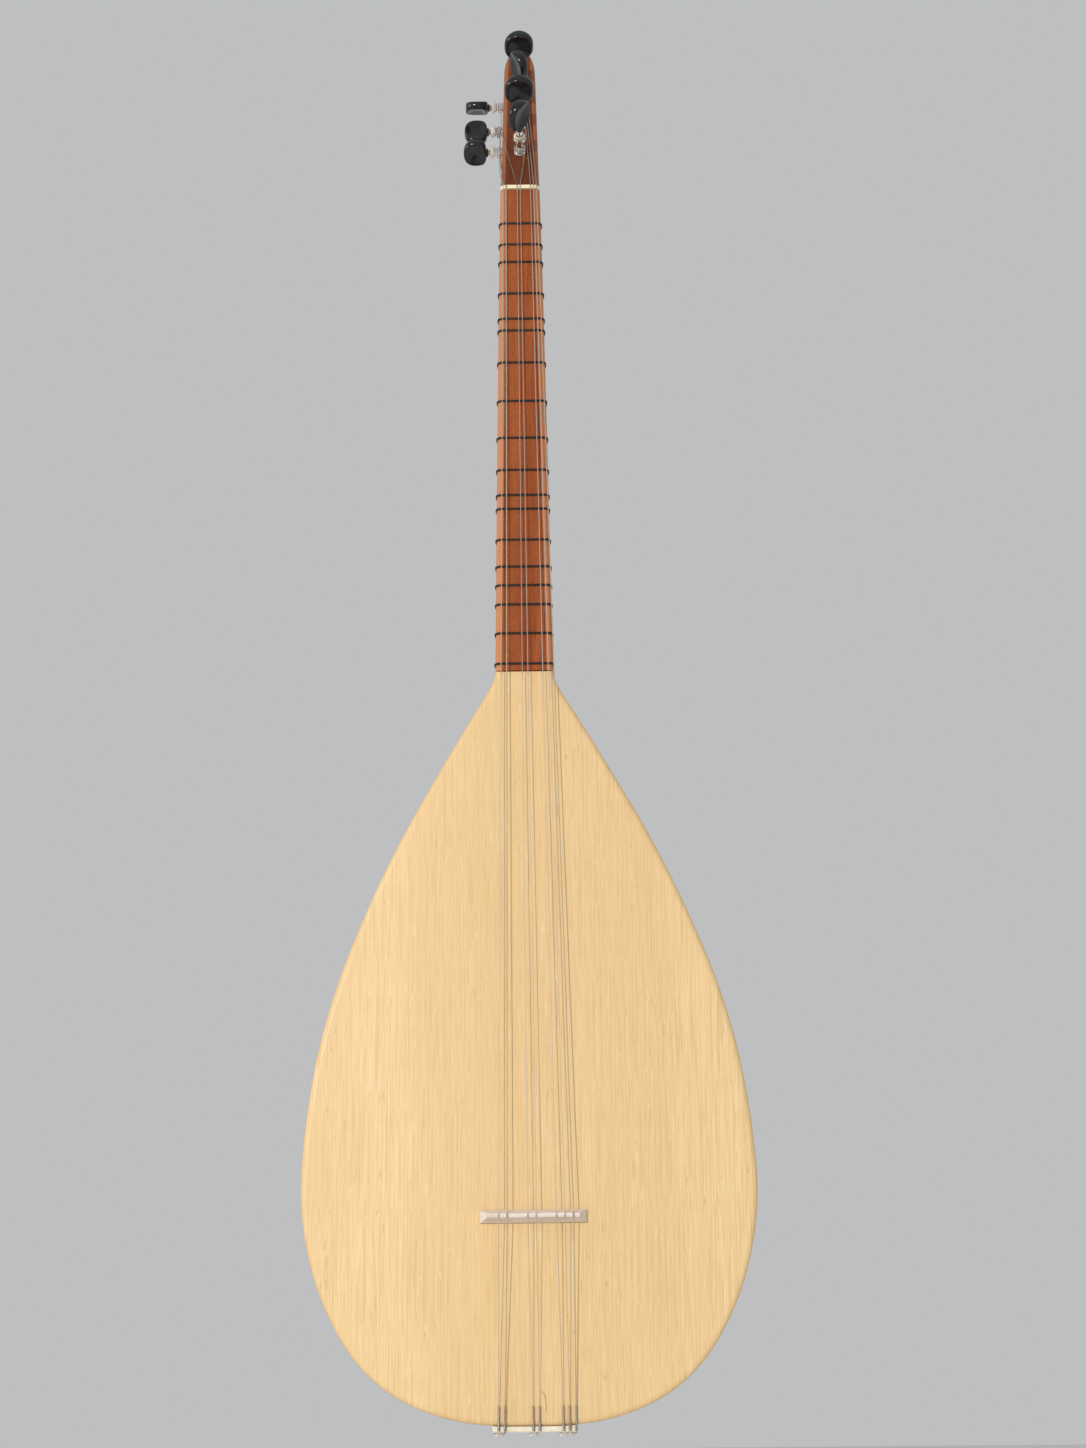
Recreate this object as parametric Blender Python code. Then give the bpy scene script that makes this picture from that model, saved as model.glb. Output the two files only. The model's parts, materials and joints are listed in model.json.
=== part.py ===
"""Saz: a long-necked lute with a staved bowl, tied frets and seven turning tuners.

The instrument hangs upright. Its origin is on the front of the neck at the
nut, where a wall hanger holds it. +Z runs up the neck, the soundboard faces -Y
and +X is to the right in the front view. Heights in the functions below are
counted from the tail and moved to that origin at the end. All sizes are in
metres.
"""
import math

import bmesh
import bpy
from mathutils import Matrix, Vector

# Clearance left between pieces that touch
GAP = 0.0003

# Main sizes
NECK_LENGTH = 0.3213
BODY_LENGTH = 0.4427
BODY_WIDTH = 0.2634
BOWL_DEPTH = 0.147

# Soundboard and staved bowl
SOUNDBOARD_THICKNESS = 0.003
SOUNDBOARD_EDGE = 0.0022
STAVE_COUNT = 7
STAVE_THICKNESS = 0.003
STAVE_TIP_RADIUS = 0.012
STAVE_ROWS = 28
STAVE_COLUMNS = 2
SOUNDBOARD_ROWS = 30
SHOULDER_FLARE = 0.0038
SHOULDER_LENGTH = 0.0112
SOUND_HOLE_RADIUS = 0.0065
SOUND_HOLE_PLACE = 0.070
SOUND_HOLE_REACH = 0.012
# The outline past the shoulder: share of half the width, share of the body's length
BODY_OUTLINE = (
    (0.232, 0.9404), (0.366, 0.8726), (0.574, 0.7611), (0.742, 0.6525),
    (0.875, 0.5449), (0.958, 0.4383), (1.000, 0.3208), (0.982, 0.2391),
    (0.903, 0.1564), (0.754, 0.0807), (0.553, 0.0314), (0.290, 0.0048),
    (0.0, 0.0),
)

# Neck and its heel block inside the bowl
NECK_NUT_WIDTH = 0.0252
NECK_JOINT_WIDTH = 0.0353
NECK_NUT_DEPTH = 0.0205
NECK_JOINT_DEPTH = 0.0283
NECK_SWELL = 0.85
HEEL_LENGTH = 0.050

# Head, tilted back from the nut
HEAD_TILT = math.radians(25.0)
HEAD_LENGTH = 0.142
HEAD_TIP_WIDTH = 0.0206
HEAD_TIP_TAPER = 0.0032
HEAD_TAPER_LENGTH = 0.019
HEAD_ROOT_THICKNESS = 0.0200
HEAD_TIP_THICKNESS = 0.0165
HEAD_FRONT_EDGE = 0.003
HEAD_BACK_EDGE = 0.005
HEAD_TIP_ROUND = 0.0016
HEAD_BLEND = 0.009
HEAD_TIP_STEPS = 4
TONGUE_LENGTH = 0.028
TONGUE_WIDTH = 0.009
TONGUE_DEPTH = 0.009
TONGUE_INSET = 0.006

# Nut
NUT_THICKNESS = 0.0023
NUT_HEIGHT = 0.0020
NUT_SEAT = 0.004
NUT_CORNER = 0.004

# Bridge
BRIDGE_LENGTH = 0.0613
BRIDGE_RIDGE_LENGTH = 0.053
BRIDGE_WIDTH = 0.0074
BRIDGE_RIDGE_WIDTH = 0.0022
BRIDGE_HEIGHT = 0.0086
BRIDGE_STEP = 0.0016
BRIDGE_OFFSET = 0.0024

# Tailpiece, tail block and hitch pins
TAILPIECE_WIDTH = 0.048
TAILPIECE_FRONT = 0.0004
TAILPIECE_BACK = 0.0215
TAILPIECE_DROP = 0.0034
TAILPIECE_EDGE = 0.0008
TAILPIECE_OFFSET = 0.0022
PIN_RADIUS = 0.0007
PIN_LENGTH = 0.0022
PIN_ROW = 0.007
PIN_ROW_STEP = 0.0045
TAIL_BLOCK_RADIUS = 0.040
TAIL_BLOCK_HEIGHT = 0.024

# Tied frets, as pitches in cents above the open string, and the pitch at the neck's joint with the body
FRET_CENTS = (65, 106, 141, 205, 258, 283, 353, 440, 527, 606, 670, 706, 789, 864, 918, 975, 1064, 1162)
JOINT_CENTS = 1186
FRET_WIDTH = 0.0013
FRET_HEIGHT = 0.0008

# Strings in three courses: middle of each course at nut, bridge and tail
COURSE_SIZES = (2, 2, 3)
COURSE_AT_NUT = (-0.00975, -0.00075, 0.00865)
COURSE_AT_BRIDGE = (-0.0149, 0.00175, 0.0206)
COURSE_AT_TAIL = (-0.0165, 0.0031, 0.0219)
STRING_STEP_AT_NUT = 0.00195
STRING_STEP_AT_BRIDGE = 0.0049
STRING_STEP_AT_TAIL = 0.0036
PLAIN_STRING_RADIUS = 0.00025
WOUND_STRING_RADIUS = 0.00032
WOUND_STRINGS = (1, 6)
STRING_HOOK_RADIUS = 0.0003
STRING_TWIST_RADIUS = 0.00045
STRING_TWIST_LENGTH = 0.010
STRING_TAPER = 0.001
STRING_BEND = 0.0012
STRING_CLEARANCE = 0.0004
STRING_WRAP_CLEARANCE = 0.0005
FRONT_WINDING_TURNS = 3
SIDE_WINDING_TURNS = 2
WINDING_POINTS = 10
WINDING_SPACE = 0.00045
FRONT_WINDING_START = 0.0060

# Tuners: places along the head, from its root
FRONT_TUNER_PLACES = (0.0330, 0.0600, 0.0855, 0.1080)
SIDE_TUNER_PLACES = (0.0487, 0.0705, 0.0969)
SIDE_TUNER_DEPTH = 0.011
SHAFT_RADIUS = 0.0030
SHAFT_BACK_STAND = 0.0010
SHAFT_CHAMFER = 0.0007
SHAFT_CLEARANCE = 0.00036
SIDE_SHAFT_LENGTH = 0.017
FOOT_RADIUS = 0.0037
FRONT_FOOT_HEIGHT = 0.0010
SIDE_FOOT_HEIGHT = 0.0005
DRUM_RADIUS = 0.0028
FLANGE_RADIUS = 0.0042
FLANGE_HEIGHT = 0.0008
DRUM_FILLET = 0.0002
FRONT_FLARE = 0.0035
SIDE_FLARE = 0.0003
FRONT_DRUM_LENGTH = 0.0120
SIDE_DRUM_LENGTH = 0.0044
FRONT_NECK_LENGTH = 0.0053
SIDE_NECK_LENGTH = 0.0032
STEM_RADIUS = 0.0017
BEAD_RADIUS = 0.0021
BEAD_SLOPE = 0.0004
STUB_RADIUS = 0.0015
STUB_LENGTH = 0.0050
WASHER_RADIUS = 0.0037
WASHER_THICKNESS = 0.0015
BUTTON_WIDTH = 0.0190
FRONT_BUTTON_LENGTH = 0.0218
SIDE_BUTTON_LENGTH = 0.0163
FRONT_BUTTON_COLLAR = 0.0027
SIDE_BUTTON_COLLAR = 0.0012
BUTTON_COLLAR_RADIUS = 0.0024
BUTTON_COLLAR_FLARE = 0.0006
BUTTON_RIM_THICKNESS = 0.0070
BUTTON_DISH_THICKNESS = 0.0036
BUTTON_SQUARENESS = 2.4
# Turn of each button about its own stem as the photograph shows it
FRONT_BUTTON_TURNS = (55.0, 8.0, -65.0, 5.0)
SIDE_BUTTON_TURNS = (0.0, 80.0, -40.0)

# Values that follow from the ones above
NUT_Z = BODY_LENGTH + NECK_LENGTH
SCALE_LENGTH = NECK_LENGTH / (1 - 2 ** (-JOINT_CENTS / 1200))
BRIDGE_Z = NUT_Z - SCALE_LENGTH
RIM_Y = SOUNDBOARD_THICKNESS + GAP
HALF_BODY = BODY_WIDTH / 2
HALF_JOINT = NECK_JOINT_WIDTH / 2
HALF_NUT = NECK_NUT_WIDTH / 2
BOWL_SWELL = math.log((NECK_JOINT_DEPTH - RIM_Y) / BOWL_DEPTH) / math.log(HALF_JOINT / HALF_BODY)
HEAD_UP = Vector((0.0, math.sin(HEAD_TILT), math.cos(HEAD_TILT)))
HEAD_OUT = Vector((0.0, -math.cos(HEAD_TILT), math.sin(HEAD_TILT)))
HEAD_ROOT = Vector((0.0, 0.0, NUT_Z + NUT_THICKNESS + GAP))
RIGHT = Vector((1.0, 0.0, 0.0))

# Colour, roughness and metallic value of each finish
FINISHES = {
    "spruce": ((0.80, 0.58, 0.30), 0.35, 0.0),
    "mahogany": ((0.33, 0.11, 0.04), 0.35, 0.0),
    "dark_mahogany": ((0.22, 0.07, 0.03), 0.35, 0.0),
    "walnut": ((0.24, 0.12, 0.06), 0.35, 0.0),
    "block_wood": ((0.55, 0.38, 0.20), 0.7, 0.0),
    "bone": ((0.90, 0.80, 0.55), 0.4, 0.0),
    "pale_wood": ((0.66, 0.60, 0.54), 0.5, 0.0),
    "nylon": ((0.03, 0.03, 0.03), 0.4, 0.0),
    "steel": ((0.65, 0.65, 0.65), 0.25, 1.0),
    "chrome": ((0.80, 0.80, 0.80), 0.10, 1.0),
    "black_plastic": ((0.01, 0.01, 0.012), 0.12, 0.0),
    "cream_plastic": ((0.85, 0.78, 0.66), 0.4, 0.0),
}


def clear_scene():
    """Remove every object that the file opened with."""
    for item in list(bpy.data.objects):
        bpy.data.objects.remove(item)


def finish_material(finish):
    """Return the named finish as a material, made on first use."""
    material = bpy.data.materials.get(finish)
    if material is None:
        colour, roughness, metallic = FINISHES[finish]
        material = bpy.data.materials.new(finish)
        material.use_nodes = True
        shader = material.node_tree.nodes["Principled BSDF"]
        shader.inputs["Base Color"].default_value = (*colour, 1.0)
        shader.inputs["Roughness"].default_value = roughness
        shader.inputs["Metallic"].default_value = metallic
        material.diffuse_color = (*colour, 1.0)
    return material


def add_object(name, data, finish, frame=None):
    """Place mesh or curve data as a named object with its own finish."""
    item = bpy.data.objects.new(name, data)
    bpy.context.scene.collection.objects.link(item)
    data.materials.append(finish_material(finish).copy())
    if frame is not None:
        item.parent = frame
    return item


def mesh_from(name, points, faces, smooth_angle=35.0):
    """Build a closed mesh with its faces pointing out."""
    mesh = bpy.data.meshes.new(name)
    mesh.from_pydata([tuple(point) for point in points], [], faces)
    work = bmesh.new()
    work.from_mesh(mesh)
    bmesh.ops.recalc_face_normals(work, faces=work.faces)
    work.to_mesh(mesh)
    work.free()
    mesh.shade_smooth()
    mesh.set_sharp_from_angle(angle=math.radians(smooth_angle))
    return mesh


def loft(name, rings, smooth_angle=35.0):
    """Join closed rings of equal length into one solid with flat ends."""
    count = len(rings[0])
    points = [point for ring in rings for point in ring]
    faces = []
    for row in range(len(rings) - 1):
        for column in range(count):
            after = (column + 1) % count
            low, high = row * count, (row + 1) * count
            faces.append((low + column, low + after, high + after, high + column))
    faces.append(tuple(range(count)))
    faces.append(tuple(range((len(rings) - 1) * count, len(rings) * count)))
    return mesh_from(name, points, faces, smooth_angle)


def turned(name, profile, sides, smooth_angle=35.0):
    """Turn (radius, height) pairs about +Z; a radius of 0 makes a pole."""
    points, rows = [], []
    for radius, height in profile:
        if radius == 0:
            rows.append([len(points)] * sides)
            points.append((0.0, 0.0, height))
            continue
        rows.append(list(range(len(points), len(points) + sides)))
        for side in range(sides):
            angle = 2 * math.pi * side / sides
            points.append((radius * math.cos(angle), radius * math.sin(angle), height))
    faces = []
    for low, high in zip(rows, rows[1:]):
        for side in range(sides):
            after = (side + 1) % sides
            corners = [low[side], low[after], high[after], high[side]]
            faces.append(tuple(dict.fromkeys(corners)))
    return mesh_from(name, points, faces, smooth_angle)


def turned_ring(name, inner, outer, low, high, sides):
    """A flat washer about +Z."""
    profile = [(inner, low), (outer, low), (outer, high), (inner, high)]
    points = []
    for radius, height in profile:
        for side in range(sides):
            angle = 2 * math.pi * side / sides
            points.append((radius * math.cos(angle), radius * math.sin(angle), height))
    faces = []
    for row in range(4):
        for side in range(sides):
            after = (side + 1) % sides
            low_row, high_row = row * sides, (row + 1) % 4 * sides
            faces.append((low_row + side, low_row + after, high_row + after, high_row + side))
    return mesh_from(name, points, faces)


def boolean(item, operation, tool):
    """Cut or join another object, which is then only a hidden helper."""
    change = item.modifiers.new(tool.name, "BOOLEAN")
    change.operation = operation
    change.object = tool
    change.solver = "EXACT"
    tool.hide_render = True
    tool.display_type = "WIRE"


def helper(name, mesh, frame=None):
    """Place a mesh that only serves as a cutter or as stock to be joined."""
    item = bpy.data.objects.new(name, mesh)
    bpy.context.scene.collection.objects.link(item)
    if frame is not None:
        item.parent = frame
    return item


def rod_between(name, start, end, radius, sides=12):
    """A helper cylinder from one point to another."""
    start, end = Vector(start), Vector(end)
    item = helper(name, turned(name, [(0, 0), (radius, 0), (radius, (end - start).length),
                                      (0, (end - start).length)], sides))
    item.matrix_world = Matrix.Translation(start) @ (end - start).to_track_quat("Z", "Y").to_matrix().to_4x4()
    return item


def box_helper(name, low, high):
    """A helper box between two corners."""
    points = [(x, y, z) for x in (low[0], high[0]) for y in (low[1], high[1]) for z in (low[2], high[2])]
    faces = [(0, 1, 3, 2), (4, 6, 7, 5), (0, 4, 5, 1), (2, 3, 7, 6), (0, 2, 6, 4), (1, 5, 7, 3)]
    return helper(name, mesh_from(name, points, faces))


# Outline and bowl surface

def outline_stations():
    """Points that the body's outline passes through, from neck joint to tail."""
    stations = [(HALF_JOINT, BODY_LENGTH),
                (HALF_JOINT + SHOULDER_FLARE, BODY_LENGTH - SHOULDER_LENGTH)]
    stations += [(HALF_BODY * across, BODY_LENGTH * along) for across, along in BODY_OUTLINE]
    first, second = stations[0], stations[1]
    before_tail = stations[-2]
    above = (second[0], 2 * first[1] - second[1])
    beyond = (-before_tail[0], before_tail[1])
    return [Vector(point) for point in [above, *stations, beyond]]


STATIONS = outline_stations()
OUTLINE_END = len(STATIONS) - 3


def outline(place):
    """Half width and height of the outline, 0 at the neck joint, OUTLINE_END at the tail."""
    index = min(int(place), OUTLINE_END - 1)
    part = place - index
    before, start, end, after = STATIONS[index:index + 4]
    leave, arrive = (end - before) / 2, (after - start) / 2
    square, cube = part * part, part ** 3
    return (start * (2 * cube - 3 * square + 1) + leave * (cube - 2 * square + part)
            + end * (3 * square - 2 * cube) + arrive * (cube - square))


def place_of_width(half_width):
    """Place near the tail where the outline has this half width."""
    low, high = OUTLINE_END - 6.0, float(OUTLINE_END)
    for _ in range(40):
        middle = (low + high) / 2
        if outline(middle).x > half_width:
            low = middle
        else:
            high = middle
    return low


def bowl_depth(half_width):
    """Depth of the bowl behind the rim where the outline has this half width."""
    return BOWL_DEPTH * max(half_width / HALF_BODY, 0.0) ** BOWL_SWELL


def bowl_surface(place, angle):
    """Point of the bowl's outside; the angle runs from the right rim over the back."""
    half_width, height = outline(place)
    return Vector((half_width * math.cos(angle), RIM_Y + bowl_depth(half_width) * math.sin(angle), height))


def bowl_point(place, angle, inset):
    """Point a given way under the bowl's outside."""
    step = 0.0005
    ahead, behind = min(place + step, OUTLINE_END), max(place - step, 0.0)
    along = bowl_surface(ahead, angle) - bowl_surface(behind, angle)
    across = bowl_surface(place, angle + step) - bowl_surface(place, angle - step)
    if place < step:
        along = Vector((0.0, 0.0, -1.0))
    normal = along.cross(across).normalized()
    if math.sin(angle) < 1e-6:
        normal = Vector((normal.x, 0.0, normal.z)).normalized()
    return bowl_surface(place, angle) - normal * inset


STAVE_PLACES = [place_of_width(STAVE_TIP_RADIUS) * row / STAVE_ROWS for row in range(STAVE_ROWS + 1)]


def facet_point(row, angle, inset):
    """Point on the facets that the staves' rows make, at a row that may lie between two."""
    index = min(int(row), STAVE_ROWS - 1)
    above, below = (bowl_point(place, angle, inset) for place in STAVE_PLACES[index:index + 2])
    return above.lerp(below, row - index)


def row_where(measure, wanted):
    """Row in the lower or upper part of the bowl where a falling measure has this value."""
    low, high = 0.0, float(STAVE_ROWS)
    for _ in range(40):
        middle = (low + high) / 2
        if measure(middle) > wanted:
            low = middle
        else:
            high = middle
    return low


def bowl_height(x, y):
    """Height of the bowl's outside near the tail over a point (x, y behind the rim)."""
    low, high = OUTLINE_END - 6.0, OUTLINE_END - 1e-6
    for _ in range(40):
        middle = (low + high) / 2
        half_width = outline(middle).x
        if (x / half_width) ** 2 + (max(y, 0.0) / bowl_depth(half_width)) ** 2 < 1:
            low = middle
        else:
            high = middle
    return outline(low).y


# Sections of the neck and head

def neck_half(height):
    """Half the neck's width at a height."""
    share = max((NUT_Z - height) / NECK_LENGTH, 0.0) ** NECK_SWELL
    return HALF_NUT + (HALF_JOINT - HALF_NUT) * share


def neck_back(height):
    """Depth of the neck's round back behind its side edges at a height."""
    share = max((NUT_Z - height) / NECK_LENGTH, 0.0) ** NECK_SWELL
    return (NECK_NUT_DEPTH + (NECK_JOINT_DEPTH - NECK_NUT_DEPTH) * share) - RIM_Y


CORNER_STEPS = 3
BACK_STEPS = STAVE_COLUMNS * STAVE_COUNT


def neck_outline(height):
    """The neck's cross-section as (x, y, outward x, outward y), right front corner first."""
    half, depth = neck_half(height), neck_back(height)
    section = []
    for step in range(CORNER_STEPS):
        turn = math.pi / 2 * step / CORNER_STEPS
        out = (math.sin(turn), -math.cos(turn))
        section.append((half - RIM_Y + RIM_Y * out[0], RIM_Y + RIM_Y * out[1], *out))
    for step in range(BACK_STEPS + 1):
        angle = math.pi * step / BACK_STEPS
        across, behind = math.cos(angle), math.sin(angle)
        out = Vector((across * depth, behind * half)).normalized()
        section.append((half * across, RIM_Y + depth * behind, out.x, out.y))
    for step in range(CORNER_STEPS - 1, -1, -1):
        turn = math.pi / 2 * step / CORNER_STEPS
        out = (-math.sin(turn), -math.cos(turn))
        section.append((-half + RIM_Y + RIM_Y * out[0], RIM_Y + RIM_Y * out[1], *out))
    return section


def heel_ring(row, inset):
    """The heel block's cross-section, seated inside the staves."""
    edge = facet_point(row, 0.0, inset)
    ring = []
    for step in range(CORNER_STEPS):
        share = step / CORNER_STEPS
        ring.append(Vector((edge.x - RIM_Y * (1 - share), RIM_Y, edge.z)))
    for step in range(BACK_STEPS + 1):
        ring.append(facet_point(row, math.pi * step / BACK_STEPS, inset))
    for step in range(CORNER_STEPS - 1, -1, -1):
        share = step / CORNER_STEPS
        ring.append(Vector((-edge.x + RIM_Y * (1 - share), RIM_Y, edge.z)))
    return ring


def head_half(along):
    """Half the head's width at a distance from its root, drawn in over the last stretch."""
    drawn_in = max(1 - (HEAD_LENGTH - along) / HEAD_TAPER_LENGTH, 0.0) ** 2
    return HALF_NUT + (HEAD_TIP_WIDTH / 2 - HALF_NUT) * along / HEAD_LENGTH - HEAD_TIP_TAPER * drawn_in


def head_thickness(along):
    """The head's thickness at a distance from its root."""
    return HEAD_ROOT_THICKNESS + (HEAD_TIP_THICKNESS - HEAD_ROOT_THICKNESS) * along / HEAD_LENGTH


def head_point(x, out, along):
    """A point given across the head, out from its front face and along it."""
    return HEAD_ROOT + RIGHT * x + HEAD_OUT * out + HEAD_UP * along


def head_ring(along, shrink):
    """The head's cross-section, with a flat back between two round edges."""
    half, thick = head_half(along) - shrink, head_thickness(along)
    ring = []
    for step in range(CORNER_STEPS):
        turn = math.pi / 2 * step / CORNER_STEPS
        radius = HEAD_FRONT_EDGE
        ring.append((half - radius + radius * math.sin(turn), radius - radius * math.cos(turn)))
    back_steps = BACK_STEPS // 2
    for step in range(back_steps):
        turn = math.pi / 2 * step / (back_steps - 1)
        radius = HEAD_BACK_EDGE
        ring.append((half - radius + radius * math.cos(turn), thick - radius + radius * math.sin(turn)))
    middle = [(0.0, thick)]
    mirrored = [(-x, behind) for x, behind in reversed(ring)]
    low, high = shrink, thick - shrink
    return [head_point(x, -min(max(behind, low), high), along) for x, behind in ring + middle + mirrored]


# Strings

def string_places():
    """The x of each string at nut, bridge and tail, with its number in its course."""
    places = []
    for course, size in enumerate(COURSE_SIZES):
        for number in range(size):
            side = number - (size - 1) / 2
            places.append((COURSE_AT_NUT[course] + side * STRING_STEP_AT_NUT,
                           COURSE_AT_BRIDGE[course] + side * STRING_STEP_AT_BRIDGE,
                           COURSE_AT_TAIL[course] + side * STRING_STEP_AT_TAIL,
                           number))
    return places


def string_radius(index):
    """Radius of a string; one in each outer course is wound."""
    return WOUND_STRING_RADIUS if index in WOUND_STRINGS else PLAIN_STRING_RADIUS


NUT_STRING_Y = -NUT_HEIGHT
BRIDGE_STRING_Y = -BRIDGE_HEIGHT
TAIL_STRING_Y = -(STRING_CLEARANCE + STRING_TWIST_RADIUS)
HOOK_Z = -(TAILPIECE_DROP + STRING_CLEARANCE + STRING_HOOK_RADIUS)
HOOK_LOOP = PIN_RADIUS + STRING_CLEARANCE + STRING_HOOK_RADIUS


def string_tail(x, number):
    """The looped end round its hitch pin and the bend over the tailpiece, as (point, radius)."""
    pin_y = PIN_ROW + PIN_ROW_STEP * number
    path = []
    for step in range(7, -1, -1):
        angle = math.radians(35.0 * step)
        across, behind = HOOK_LOOP * (math.cos(angle) - 1), HOOK_LOOP * math.sin(angle)
        path.append((Vector((x + across, pin_y + behind, HOOK_Z)), STRING_HOOK_RADIUS))
    for step in range(4):
        angle = math.pi / 2 * step / 3
        y = TAIL_STRING_Y + STRING_BEND * (1 - math.sin(angle))
        z = HOOK_Z + STRING_BEND * (1 - math.cos(angle))
        radius = STRING_HOOK_RADIUS + (STRING_TWIST_RADIUS - STRING_HOOK_RADIUS) * step / 3
        path.append((Vector((x, y, z)), radius))
    return path


def winding_orbit(radius):
    """Distance from a drum's axis to the middle of a string wound on it."""
    return DRUM_RADIUS + STRING_WRAP_CLEARANCE + radius


def winding(centre, directions, radius, start, pitch, count):
    """Points of a string's turns on its drum, from the side where it arrives."""
    side, ahead, axis = directions
    orbit = winding_orbit(radius)
    points = []
    for step in range(count * WINDING_POINTS + 1):
        turn = step / WINDING_POINTS
        angle = 2 * math.pi * turn
        points.append(centre + (side * math.cos(angle) + ahead * math.sin(angle)) * orbit
                      + axis * (start + pitch * turn))
    return points


def tangent_turn(offset, reach, way):
    """Turn about a round edge at which a straight line from an offset point touches it."""
    return math.atan2(-offset.x, offset.y) + way * math.acos(min(reach / offset.length, 1.0))


def edge_route(x, along, radius):
    """Points that take a string from the front face round the head's left front edge."""
    reach = HEAD_FRONT_EDGE + STRING_WRAP_CLEARANCE + radius
    start = Vector((x, (Vector((0, NUT_STRING_Y, NUT_Z)) - HEAD_ROOT).dot(HEAD_OUT)))
    end = Vector((-head_half(along) - side_winding_start(radius), winding_orbit(radius) - SIDE_TUNER_DEPTH))
    centre = Vector((HEAD_FRONT_EDGE - head_half(along), -HEAD_FRONT_EDGE))
    first = tangent_turn(start - centre, reach, 1)
    last = tangent_turn(end - centre, reach, -1)
    corner = [centre + Vector((-math.sin(turn), math.cos(turn))) * reach
              for turn in (first, (first + last) / 2, last)]
    stops = [start, *corner, end]
    total = sum((two - one).length for one, two in zip(stops, stops[1:]))
    points, gone = [], 0.0
    for one, two in zip(stops[:-1], stops[1:-1]):
        gone += (two - one).length
        here = along * gone / total
        outward = head_half(here) - head_half(along)
        points.append(head_point(two.x - outward, two.y, here))
    return points


def side_winding_start(radius):
    """Height on a side drum where a string's first turn begins."""
    return GAP + SIDE_FOOT_HEIGHT + DRUM_FILLET + GAP + radius


def string_path(index, peg):
    """Every point of a string, from its tail loop to its last turn on the drum."""
    nut_x, bridge_x, tail_x, number = string_places()[index]
    radius = string_radius(index)
    path = string_tail(tail_x, number)
    foot = Vector((tail_x, TAIL_STRING_Y, 0.0))
    bridge = Vector((bridge_x, BRIDGE_STRING_Y, BRIDGE_Z))
    rise = (bridge - foot).normalized()
    path.append((foot, STRING_TWIST_RADIUS))
    path.append((foot + rise * STRING_TWIST_LENGTH, STRING_TWIST_RADIUS))
    path.append((foot + rise * (STRING_TWIST_LENGTH + STRING_TAPER), radius))
    path.append((bridge, radius))
    path.append((Vector((nut_x, NUT_STRING_Y, NUT_Z)), radius))
    path.append((Vector((nut_x, NUT_STRING_Y, NUT_Z + NUT_THICKNESS)), radius))
    row, place = peg
    pitch = 2 * radius + WINDING_SPACE
    if row == "front":
        centre = head_point(0.0, 0.0, place)
        turns = winding(centre, (RIGHT, HEAD_UP, HEAD_OUT), radius, FRONT_WINDING_START, -pitch,
                        FRONT_WINDING_TURNS)
    else:
        path += [(point, radius) for point in edge_route(nut_x, place, radius)]
        centre = head_point(-head_half(place), -SIDE_TUNER_DEPTH, place)
        start = side_winding_start(radius)
        turns = winding(centre, (HEAD_OUT, HEAD_UP, -RIGHT), radius, start, pitch, SIDE_WINDING_TURNS)
    path += [(point, radius) for point in turns]
    return path


def least_gap(path):
    """Smallest space between a tube's turns, from the distances of its far-apart points."""
    least = 1.0
    lengths = [0.0]
    for (one, _), (two, _) in zip(path, path[1:]):
        lengths.append(lengths[-1] + (two - one).length)
    for first, (one, one_radius) in enumerate(path):
        for second in range(first + 3, len(path)):
            two, two_radius = path[second]
            if lengths[second] - lengths[first] > 8 * (one_radius + two_radius):
                least = min(least, (two - one).length - one_radius - two_radius)
    return least


def wire(name, path, finish):
    """A round wire through hand-placed points, with a radius at each."""
    data = bpy.data.curves.new(name, "CURVE")
    data.dimensions = "3D"
    data.bevel_depth = 1.0
    data.bevel_resolution = 1
    data.use_fill_caps = True
    data.resolution_u = 1
    spline = data.splines.new("POLY")
    spline.points.add(len(path) - 1)
    for spot, (point, radius) in zip(spline.points, path):
        spot.co = (*point, 1.0)
        spot.radius = radius
    return add_object(name, data, finish)


# Tuners

def tuner_layout():
    """Each tuner as (row, number, place along the head, turn of its button)."""
    front = [("front", number + 1, place, turn)
             for number, (place, turn) in enumerate(zip(FRONT_TUNER_PLACES, FRONT_BUTTON_TURNS))]
    side = [("side", number + 1, place, turn)
            for number, (place, turn) in enumerate(zip(SIDE_TUNER_PLACES, SIDE_BUTTON_TURNS))]
    return front + side


def tuner_axis(row, place):
    """The point where a tuner leaves the head and the direction it points."""
    if row == "front":
        return head_point(0.0, 0.0, place), HEAD_OUT.copy()
    return head_point(-head_half(place), -SIDE_TUNER_DEPTH, place), -RIGHT


def tuner_frame(row, number, place):
    """An empty on the tuner's axis, with its +Z pointing out of the head."""
    frame = bpy.data.objects.new(f"{row}_tuner_{number}_axis", None)
    bpy.context.scene.collection.objects.link(frame)
    base, out = tuner_axis(row, place)
    across = RIGHT if row == "front" else HEAD_OUT
    side = out.cross(across).normalized()
    turn = Matrix((side.cross(out), side, out)).transposed().to_4x4()
    frame.matrix_world = Matrix.Translation(base) @ turn
    return frame


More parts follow.
